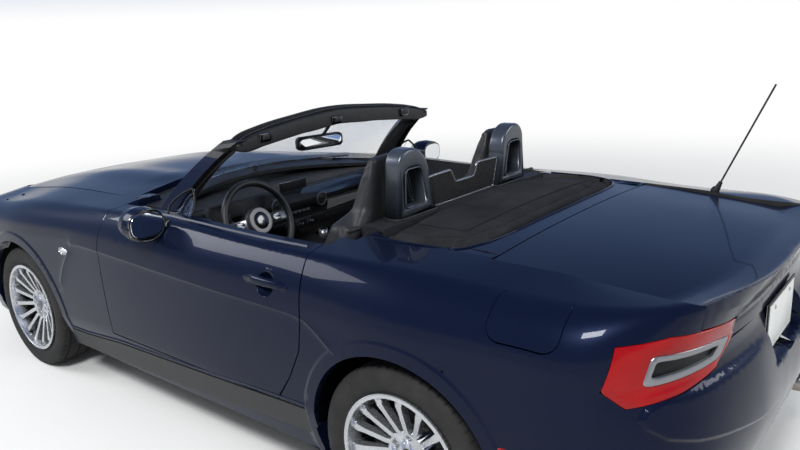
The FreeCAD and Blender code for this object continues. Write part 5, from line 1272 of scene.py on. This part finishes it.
def spoke_face(centre, normal):
    reach, _ = wheel_polar(centre)
    return 0.064 < reach < 0.152


recoloured("steering_wheel", "steering", "leather", (("silver", silver_grip), ("silver", spoke_face)), 50)
turned("hub_pad", on_wheel(0, 0, -0.001), TO_DRIVER,
       ((0, 0.061), (0.010, 0.060), (0.015, 0.056), (0.0165, 0.052)), "dash", 48, body="steering")
turned("hub_ring", on_wheel(0, 0, 0.014), TO_DRIVER,
       ((0, 0.0555), (0.0030, 0.0545), (0.0045, 0.0480), (0.0030, 0.0375), (0.0, 0.0365)), "trim", 48,
       hollow=True, body="steering")
turned("hub_button", on_wheel(0, 0, 0.013), TO_DRIVER,
       ((0, 0.0365), (0.0060, 0.0355), (0.0085, 0.0300), (0.0100, 0.0180), (0.0104, 0.0006)), "gloss", 48,
       body="steering")
for name, a in (("left", 0), ("right", 180)):
    spot = on_wheel(math.cos(math.radians(a)) * 0.098, 0, -0.004)
    rounded_box(f"spoke_keys_{name}", spot, (0.010, 0.044, 0.028), 0.004, "gloss", (0, COLUMN, 0),
                body="steering")
    for row in (-0.008, 0.008):
        rounded_box(f"spoke_key_{name}_{'high' if row > 0 else 'low'}",
                    spot + WHEEL_UP * row + TO_DRIVER * 0.005,
                    (0.004, 0.034, 0.010), 0.0018, "silver", (0, COLUMN, 0), body="steering")

# Dashboard: vents, knobs, screen, glove box strip, gauges under the cowl, seams
DIALS = ((0.560, 0.792, 0.034, 0.052), (-0.560, 0.792, 0.034, 0.052), (0.168, 0.792, 0.033, 0.052),
         (-0.118, 0.772, 0.033, 0.056))
KNOBS = ((0.080, 0.670), (0.015, 0.668), (-0.050, 0.670))
recoloured("dashboard", "car_body", "dash", (
    ("gloss", lambda c, n: n.x < -0.4 and c.z > 0.73 and c.y < -0.13 and c.x < 0.10),
    ("screen", lambda c, n: abs(c.y - 0.015) < 0.082 and 0.799 < c.z < 0.879 and n.x < -0.9 and c.x > 0.10),
), 35)
BACK = Vector((-1, 0, 0))
for index, (y, z, r, x) in enumerate(DIALS):
    name = f"vent_{index + 1}"
    turned(name + "_ring", (x + 0.001, y, z), BACK,
           ((0, r), (0.003, r + 0.0006), (0.0050, r - 0.0015), (0.0052, r - 0.0042), (0.0030, r - 0.0062),
            (0, r - 0.0066)), "silver", 44, hollow=True)
    for step in (-0.014, -0.005, 0.005, 0.014):
        half = math.sqrt(max((r - 0.008) ** 2 - step ** 2, 0.0001))
        rounded_box(f"{name}_vane_{int(step * 1000) + 20}", (x - 0.001, y, z + step),
                    (0.008, 2 * half, 0.0022), 0.0008, "plastic", (0, math.radians(18), 0))
    turned(name + "_centre", (x, y, z), BACK,
           ((0, 0.0075), (0.004, 0.0072), (0.0058, 0.0050), (0.0060, 0.0004)), "gloss", 24)
for index, (y, z) in enumerate(KNOBS):
    turned(f"knob_{index + 1}_ring", (0.0685, y, z), BACK,
           ((0, 0.026), (0.004, 0.0262), (0.0065, 0.0248), (0.0066, 0.0205), (0.0030, 0.0192)), "chrome",
           40, hollow=True)
    turned(f"knob_{index + 1}_grip", (0.0690, y, z), BACK,
           ((0, 0.019), (0.0105, 0.0175), (0.0125, 0.0155), (0.0128, 0.0006)), "gloss", 30)
    rounded_box(f"knob_{index + 1}_mark", (0.0560, y, z + 0.009), (0.0015, 0.0022, 0.010), 0.0006, "mark")
rounded_box("screen_bezel", (0.1035, 0.015, 0.839), (0.006, 0.166, 0.082), 0.0026, "gloss")
rounded_box("screen_sheet", (0.1000, 0.015, 0.841), (0.002, 0.150, 0.066), 0.0009, "screen")
rounded_box("screen_foot", (0.094, 0.015, 0.797), (0.012, 0.130, 0.012), 0.004, "gloss")
turned("screen_knob", (0.094, 0.015, 0.797), BACK,
       ((0, 0.007), (0.008, 0.007), (0.0095, 0.005), (0.0098, 0.0004)), "plastic", 20)
rounded_box("radio_panel", (0.0730, 0.020, 0.737), (0.010, 0.150, 0.034), 0.004, "gloss",
            (0, math.radians(15), 0))
for index in range(5):
    rounded_box(f"radio_key_{index + 1}", (0.0672, 0.020 + 0.028 * (index - 2), 0.736),
                (0.004, 0.022, 0.013), 0.0016, "plastic", (0, math.radians(15), 0))


dash_tree = tree_of(nodes["dashboard"])


def dash_face(y, z, out=0.0):
    """A place on the dashboard's face towards the seats."""
    spot, normal, _, _ = dash_tree.ray_cast(Vector((-0.3, y, z)), Vector((1, 0, 0)))
    return spot + normal * (out if normal.x < 0 else -out)


rows = []
for y in np.linspace(-0.165, -0.590, 22):
    share = (abs(y) - 0.165) / 0.425
    high = 0.752 - 0.004 * share
    low = 0.708 + 0.022 * share
    outer = [dash_face(y, z, 0.006) for z in np.linspace(high, low, 5)]
    inner = [dash_face(y, z, -0.002) for z in (low - 0.002, high + 0.002)]
    rows.append(outer + inner)
loft("passenger_strip", rows, "trim", 50)
for name, z in (("upper", 0.764), ("lower", 0.668)):
    tube(f"dash_seam_{name}", [dash_face(y, z, 0.0004) for y in np.linspace(-0.17, -0.61, 12)],
         0.0016, "rubber")
for name, y in (("speed", 0.398), ("revs", 0.318)):
    turned(f"gauge_{name}_ring", (0.0545, y, 0.806), (-1, 0, 0.12),
           ((0, 0.040), (0.006, 0.040), (0.008, 0.0375), (0.006, 0.0350), (0.001, 0.0345)), "silver",
           40, hollow=True)
    turned(f"gauge_{name}_face", (0.0560, y, 0.806), (-1, 0, 0.12),
           ((0, 0.035), (0.0022, 0.0348), (0.0024, 0.0004)), "screen", 40)
    for tick in range(9):
        a = math.radians(220 - 32.5 * tick)
        rounded_box(f"gauge_{name}_tick_{tick + 1}",
                    (0.0530, y + 0.029 * math.cos(a), 0.806 + 0.029 * math.sin(a)), (0.0012, 0.0058, 0.0014),
                    0.0004, "mark", (a, 0, 0))
    a = math.radians(150)
    rounded_box(f"gauge_{name}_needle", (0.0522, y + 0.012 * math.cos(a), 0.806 + 0.012 * math.sin(a)),
                (0.0014, 0.024, 0.0016), 0.0005, "red", (a, 0, 0))

# Centre console: lever boot and knob, shift frame, handbrake, cup holders, armrest
recoloured("centre_console", "car_body", "dash", (
    ("silver", lambda c, n: c.z > 0.619),
    ("chrome", lambda c, n: c.z > 0.575 and math.hypot(c.x + 0.06, c.y) < 0.012),
), 45)
turned("lever_boot", (-0.060, 0, 0.533), (0.02, 0, 1),
       ((0, 0.048), (0.008, 0.044), (0.013, 0.036), (0.020, 0.035), (0.026, 0.027), (0.033, 0.026),
        (0.040, 0.019), (0.048, 0.017), (0.062, 0.0095)), "leather", 32, power=2.8)
turned("lever_frame", (-0.060, 0, 0.5355), (0.02, 0, 1),
       ((0, 0.060), (0.006, 0.058), (0.008, 0.052), (0.004, 0.048)), "silver", 40, power=3.2, hollow=True)
turned("knob_cap", (-0.060, 0, 0.6625), (0, 0, 1), ((0, 0.0165), (0.002, 0.0155), (0.0028, 0.0006)), "gloss",
       28)
tube("handbrake", [(-0.200, 0.052, 0.548), (-0.255, 0.052, 0.560), (-0.330, 0.052, 0.575),
                   (-0.395, 0.052, 0.584)], 0.0105, "leather")
turned("handbrake_button", (-0.392, 0.052, 0.5838), (-1, 0, 0.15),
       ((0, 0.0085), (0.014, 0.0085), (0.017, 0.006), (0.0172, 0.0004)), "chrome", 20)
rounded_box("handbrake_slot", (-0.230, 0.052, 0.5445), (0.120, 0.036, 0.008), 0.003, "gloss",
            (0, math.radians(2), 0))
for index, x in enumerate((-0.255, -0.345)):
    turned(f"cup_ring_{index + 1}", (x, -0.045, 0.5365 - 0.002 * index), (0, 0, 1),
           ((0, 0.039), (0.005, 0.0385), (0.0065, 0.036), (0.004, 0.0335), (0, 0.0335)), "silver",
           36, hollow=True)
    turned(f"cup_floor_{index + 1}", (x, -0.045, 0.5368 - 0.002 * index), (0, 0, 1),
           ((0, 0.0335), (0.0012, 0.0330), (0.0013, 0.0004)), "rubber", 36)
rounded_box("armrest", (-0.640, 0, 0.5735), (0.300, 0.196, 0.030), 0.012, "leather", segments=4)
for name, y in (("left", 0.078), ("right", -0.078)):
    tube(f"armrest_seam_{name}", [(-0.500, y, 0.5892), (-0.640, y, 0.5893), (-0.780, y, 0.5892)],
         0.0009, "belt")

# Pedals, door trims with pulls and speakers
for name, y, wide in (("throttle", 0.235, 0.046), ("brake", 0.330, 0.070), ("clutch", 0.425, 0.060)):
    rounded_box(f"pedal_{name}", (0.352, y, 0.330), (0.008, wide, 0.075), 0.003, "iron",
                (0, math.radians(24), 0))
    tube(f"pedal_{name}_arm", [(0.362, y, 0.345), (0.392, y, 0.430), (0.402, y, 0.520), (0.404, y, 0.600)],
         0.006, "iron")
for side_name, side in SIDES:
    body = side_name + "_door_body"
    box_low, box_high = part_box(side_name + "_door")
    face = min(abs(box_low.y), abs(box_high.y))
    inward = Vector((0, -side, 0))
    pull = [(-0.060, 0.640), (-0.095, 0.668), (-0.200, 0.676), (-0.310, 0.668), (-0.345, 0.640)]
    tube(side_name + "_door_pull", [Vector((x, side * (face - (0.001 if i in (0, 4) else 0.009)), z))
                                    for i, (x, z) in enumerate(pull)], 0.0075, "silver", body=body)
    rounded_box(side_name + "_door_rest", (-0.260, side * (face - 0.004), 0.590), (0.460, 0.018, 0.062),
                0.008, "leather", body=body)
    turned(side_name + "_speaker_ring", Vector((0.110, side * (face + 0.0005), 0.470)), inward,
           ((0, 0.082), (0.005, 0.080), (0.0065, 0.075), (0.003, 0.071)), "silver", 48,
           hollow=True, body=body)
    turned(side_name + "_speaker_grille", Vector((0.110, side * (face + 0.0005), 0.470)), inward,
           ((0, 0.073), (0.003, 0.071), (0.0045, 0.045), (0.005, 0.0005)), "plastic", 48, body=body)
    rounded_box(side_name + "_inner_handle", (0.060, side * (face - 0.004), 0.735), (0.090, 0.012, 0.026),
                0.005, "chrome", body=body)
    rounded_box(side_name + "_window_keys", (-0.115, side * (face - 0.013), 0.598), (0.080, 0.006, 0.030),
                0.0025, "gloss", body=body)


# Soft goods: stitched seats and the stowed cloth top, filled out by a short cloth run
def puffed(node, body, key, name, voxel, cap, pressure, held):
    """The CAD form remeshed and filled out with pressure, held where the test says so."""
    mesh = copied(node, name)
    piece = add(name, mesh, body, key)
    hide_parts(node)
    bpy.context.view_layer.objects.active = piece
    shrink = piece.modifiers.new("slimmer", "DISPLACE")
    shrink.strength = -0.004
    shrink.mid_level = 0
    remesh = piece.modifiers.new("even", "REMESH")
    remesh.mode = "VOXEL"
    remesh.voxel_size = voxel
    soften = piece.modifiers.new("soften", "SMOOTH")
    soften.factor = 0.5
    soften.iterations = 3
    bake(piece)
    mesh = piece.data
    start = np.empty(len(mesh.vertices) * 3)
    mesh.vertices.foreach_get("co", start)
    start = start.reshape(-1, 3)
    pins = piece.vertex_groups.new(name="held")
    pins.add([i for i, place in enumerate(start) if held(place)], 1.0, "REPLACE")
    cloth = piece.modifiers.new("cloth", "CLOTH")
    cloth.settings.quality = 4
    cloth.settings.mass = 0.3
    cloth.settings.tension_stiffness = 25
    cloth.settings.compression_stiffness = 25
    cloth.settings.bending_stiffness = 2.0
    cloth.settings.use_pressure = True
    cloth.settings.uniform_pressure_force = pressure
    cloth.settings.vertex_group_mass = "held"
    cloth.settings.effector_weights.gravity = 0
    cloth.collision_settings.use_collision = False
    for step in range(1, 21):
        bpy.context.scene.frame_set(step)
    bake(piece)
    bpy.context.scene.frame_set(1)
    mesh = piece.data
    end = np.empty(len(mesh.vertices) * 3)
    mesh.vertices.foreach_get("co", end)
    end = end.reshape(-1, 3)
    move = end - start
    length = np.linalg.norm(move, axis=1, keepdims=True)
    move *= np.minimum(1, cap / np.maximum(length, 1e-9))
    mesh.vertices.foreach_set("co", (start + move).reshape(-1))
    mesh.update()
    smooth(piece.data, 180)
    return piece


def bake(piece):
    """Apply the modifiers of a piece."""
    made = bpy.data.meshes.new_from_object(piece.evaluated_get(bpy.context.evaluated_depsgraph_get()))
    piece.modifiers.clear()
    old = piece.data
    piece.data = made
    bpy.data.meshes.remove(old)


def press(piece, lines, width, depth):
    """Sewn channels: points near the lines sink into the cushion along its normals."""
    mesh = piece.data
    tree_points = []
    for line in lines:
        line = [Vector(p) for p in line]
        for a, b in zip(line, line[1:]):
            count = max(int((b - a).length / 0.006), 1)
            tree_points += [a.lerp(b, i / count) for i in range(count)]
    points = np.array(tree_points)
    for vertex in mesh.vertices:
        gap = np.linalg.norm(points - np.array(vertex.co), axis=1).min()
        if gap < 3 * width:
            vertex.co = vertex.co - vertex.normal * depth * math.exp(-(gap / width) ** 2)
    mesh.update()


def refine(piece):
    modifier = piece.modifiers.new("rounder", "SUBSURF")
    modifier.levels = modifier.render_levels = 1
    bake(piece)
    smooth(piece.data, 180)


def follow(piece, points, facing, out=0.0005):
    """Points dropped on a piece's surface along a direction."""
    tree = tree_of(piece)
    facing = Vector(facing).normalized()
    found = []
    for place in points:
        hit = tree.ray_cast(Vector(place) - facing * 0.35, facing, 0.6)
        if hit[0] is not None:
            found.append(hit[0] - facing * out)
    return found


def spread(points, count):
    """Even points along a chain."""
    points = np.array(points, float)
    steps = np.concatenate([[0], np.cumsum(np.linalg.norm(np.diff(points, axis=0), axis=1))])
    at = np.linspace(0, steps[-1], count)
    return [Vector([float(np.interp(t, steps, points[:, k])) for k in range(3)]) for t in at]


# Sewn lines of a seat about its own middle plane: on the cushion from above, on the back from ahead
CUSHION_SEAMS = (((-0.555, 0.150, 0), (-0.300, 0.158, 0), (-0.105, 0.160, 0)),
                 ((-0.555, -0.150, 0), (-0.300, -0.158, 0), (-0.105, -0.160, 0)),
                 ((-0.105, -0.200, 0), (-0.105, 0.200, 0)), ((-0.230, -0.156, 0), (-0.230, 0.156, 0)),
                 ((-0.345, -0.156, 0), (-0.345, 0.156, 0)), ((-0.460, -0.153, 0), (-0.460, 0.153, 0)))
BACK_SEAMS = (((0, 0.150, 0.470), (0, 0.155, 0.700), (0, 0.128, 0.900)),
              ((0, -0.150, 0.470), (0, -0.155, 0.700), (0, -0.128, 0.900)),
              ((0, -0.128, 0.900), (0, 0.128, 0.900)), ((0, -0.153, 0.560), (0, 0.153, 0.560)),
              ((0, -0.155, 0.670), (0, 0.155, 0.670)), ((0, -0.150, 0.785), (0, 0.150, 0.785)))
HEAD_SEAM = ((0, 0.088, 0.960), (0, 0.092, 1.030), (0, 0.078, 1.088), (0, 0, 1.100), (0, -0.078, 1.088),
             (0, -0.092, 1.030), (0, -0.088, 0.960))
for side_name, side in SIDES:
    middle = 0.365 * side
    seat = puffed(side_name + "_seat", "car_body", "leather", side_name + "_seat_soft", 0.011, 0.009, 3.0,
                  lambda p: p[2] < 0.335 or p[0] < -0.772)
    lines = []
    for seam in CUSHION_SEAMS:
        lines.append(follow(seat, [p + Vector((0, middle, 0.45)) for p in spread(seam, 24)], (0, 0, -1)))
    for seam in BACK_SEAMS + (HEAD_SEAM,):
        lines.append(follow(seat, [p + Vector((-0.60, middle, 0)) for p in spread(seam, 30)], (-1, 0, 0)))
    press(seat, [line for line in lines if len(line) > 1], 0.009, 0.006)
    refine(seat)
    for index, line in enumerate(lines):
        if len(line) > 2:
            facing = (0, 0, -1) if index < len(CUSHION_SEAMS) else (-1, 0, 0)
            stitched = follow(seat, line, facing, 0.0002)
            tube(f"{side_name}_seat_seam_{index + 1}", stitched, 0.0011, "belt", resolution=1)
    for place, out in (("inner", -1), ("outer", 1)):
        rounded_box(f"{side_name}_seat_rail_{place}", (-0.320, middle + out * side * 0.150, 0.2965),
                    (0.440, 0.026, 0.014), 0.004, "iron")
    rounded_box(side_name + "_seat_lever", (-0.585, middle + side * 0.2515, 0.372), (0.110, 0.012, 0.026),
                0.005, "plastic", (0, math.radians(-14), 0))
    belt = [Vector((-0.795, middle + side * 0.222, 0.420)), Vector((-0.797, middle + side * 0.226, 0.640)),
            Vector((-0.799, middle + side * 0.224, 0.855))]
    ribbon(side_name + "_belt", belt, Vector((1, 0, 0)), 0.046, 0.0016, "belt")
    rounded_box(side_name + "_belt_guide", (-0.803, middle + side * 0.222, 0.902), (0.014, 0.060, 0.016),
                0.005, "plastic")
    rounded_box(side_name + "_belt_buckle", (-0.560, middle - side * 0.2555, 0.455), (0.030, 0.016, 0.070),
                0.005, "gloss", (0, math.radians(-20), 0))
    rounded_box(side_name + "_belt_button", (-0.572, middle - side * 0.2555, 0.4885), (0.016, 0.0125, 0.006),
                0.0025, "red", (0, math.radians(-20), 0))

top = puffed("stowed_soft_top", "car_body", "cloth", "soft_top_cloth", 0.011, 0.008, 2.2,
             lambda p: p[2] < 0.86)
FOLDS = (((-0.930, 0.560, 0), (-0.915, 0.300, 0), (-0.912, 0, 0), (-0.915, -0.300, 0), (-0.930, -0.560, 0)),
         ((-1.165, 0.500, 0), (-1.205, 0.300, 0), (-1.215, 0, 0), (-1.205, -0.300, 0), (-1.165, -0.500, 0)),
         ((-0.930, 0.500, 0), (-1.060, 0.505, 0), (-1.165, 0.470, 0)),
         ((-0.930, -0.500, 0), (-1.060, -0.505, 0), (-1.165, -0.470, 0)),
         ((-1.045, 0.500, 0), (-1.050, 0, 0), (-1.045, -0.500, 0)))
lines = [follow(top, [p + Vector((0, 0, 0.93)) for p in spread(fold, 60)], (0, 0, -1)) for fold in FOLDS]
press(top, [line for line in lines[:4] if len(line) > 1], 0.010, 0.007)
press(top, [line for line in lines[4:] if len(line) > 1], 0.030, 0.004)
refine(top)
for index, line in enumerate(lines[:4]):
    tube(f"soft_top_seam_{index + 1}", follow(top, line, (0, 0, -1), 0.0002), 0.0018, "cloth", resolution=1)
panel_rows = []
for x in np.linspace(-0.942, -1.150, 12):
    ys = np.linspace(0.440, -0.440, 34)
    row = follow(top, [(x - 0.020 * (1 - (y / 0.44) ** 2), y, 0.93) for y in ys], (0, 0, -1), 0.0030)
    panel_rows.append(row)
if len({len(row) for row in panel_rows}) == 1:
    under = [[p - Vector((0, 0, 0.006)) for p in row[::-1]] for row in panel_rows]
    flat = loft("soft_top_panel", [row + low for row, low in zip(panel_rows, under)], "cloth", 60)

# Roll hoops and the wind deflector with its net and rim
recoloured("roll_hoops", "car_body", "hoop", (("gloss", lambda c, n: c.z < 0.912),), 45)
for side_name, side in SIDES:
    for depth, x in (("front", -0.799), ("rear", -0.871)):
        loop = rounded_loop([(0.262, 0.940), (0.298, 1.074), (0.386, 1.074), (0.392, 0.940)], 0.022, 8)
        tube(f"{side_name}_hoop_edge_{depth}", [(x, side * y, z) for y, z in loop], 0.0030, "hoop", True)
    foot = rounded_loop([(-0.795, 0.200), (-0.795, 0.437), (-0.875, 0.437), (-0.875, 0.200)], 0.030, 6)
    tube(side_name + "_hoop_foot", [(x, side * y, 0.9065) for x, y in foot], 0.0045, "plastic", True)

DEFLECTOR = [(-0.202, 0.907), (-0.236, 1.019), (-0.092, 1.022), (-0.062, 0.972), (0.062, 0.972),
             (0.092, 1.022), (0.236, 1.019), (0.202, 0.907)]
rim = rounded_loop(DEFLECTOR, 0.010, 5)
tube("deflector_rim", [(-0.848, y, z) for y, z in rim], 0.0052, "silver", True)


def deflector_net():
    """Thin crossed bars cut to the outline."""
    bars = []
    for sign in (1, -1):
        for start in np.arange(-0.42, 0.42, 0.013):
            chain = [(start + sign * t, 0.907 + t) for t in np.linspace(0, 0.115, 60)]
            run = [p for p in chain if inside(p, DEFLECTOR)]
            if len(run) > 4:
                bars.append((run[0], run[-1], sign))
    verts, faces = [], []
    for (y0, z0), (y1, z1), sign in bars:
        across = Vector((0, z1 - z0, -(y1 - y0))).normalized() * 0.0014
        deep = Vector((0.0042, 0, 0))
        base = len(verts)
        for y, z in ((y0, z0), (y1, z1)):
            place = Vector((-0.848 + 0.0004 * sign, y, z))
            verts += [place - across - deep, place + across - deep, place + across + deep,
                      place - across + deep]
        faces += [(base, base + 1, base + 2, base + 3), (base + 7, base + 6, base + 5, base + 4)]
        faces += [(base + i, base + 4 + i, base + 4 + (i + 1) % 4, base + (i + 1) % 4) for i in range(4)]
    mesh = bpy.data.meshes.new("deflector_net")
    mesh.from_pydata([tuple(v) for v in verts], [], faces)
    weld(mesh)
    net = add("deflector_net", mesh, "car_body", "plastic")
    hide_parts("wind_deflector")


deflector_net()

# Underbody, cabin tub and the remaining nodes
recoloured("floor_tub", "car_body", "carpet", (
    ("under", lambda c, n: n.z < -0.6 and c.z < 0.30),
    ("paint", lambda c, n: abs(c.y) > 0.628 and c.z > 0.22),
    ("dash", lambda c, n: c.z > 0.80),
    ("under", lambda c, n: c.x > 0.43),
), 30)
dress("cowl wipers antenna", "plastic")
dress("grille", "gloss")
dress("windscreen left_quarter_light right_quarter_light", "glass")
dress("trunk_tub front_rails", "under")
dress("front_suspension rear_suspension left_knuckle right_knuckle", "iron")
dress("engine_block", "dark_alloy_and_painted_shade")
dress("exhaust", "exhaust")
dress("rear_plate", "plate")

for side_name, side in SIDES:
    frame_points = [(0.052, side * 0.724, 0.882), (-0.080, side * 0.716, 0.878),
                    (-0.058, side * 0.672, 0.978), (-0.045, side * 0.670, 0.980)]
    tube(side_name + "_quarter_frame", frame_points, 0.0045, "rubber", True, body=side_name + "_door_body")

# Antenna foot
turned("antenna_foot", (-1.600, -0.612, 0.882), (-0.1, 0, 1), ((0, 0.016), (0.006, 0.0155), (0.014, 0.011),
       (0.018, 0.006), (0.0185, 0.0004)), "rubber", 24)

# Light and view
set_world()
set_floor()
area_light("key", (-2.6, 4.6, 5.6), (-0.6, 0.2, 0.6), (1.6, 1.2), 430)
area_light("front", (4.6, 3.2, 4.2), (0.6, 0, 0.6), (3.0, 2.0), 190)
area_light("rear", (-5.0, -3.0, 3.4), (-0.8, 0, 0.6), (2.6, 1.6), 120)
set_camera()
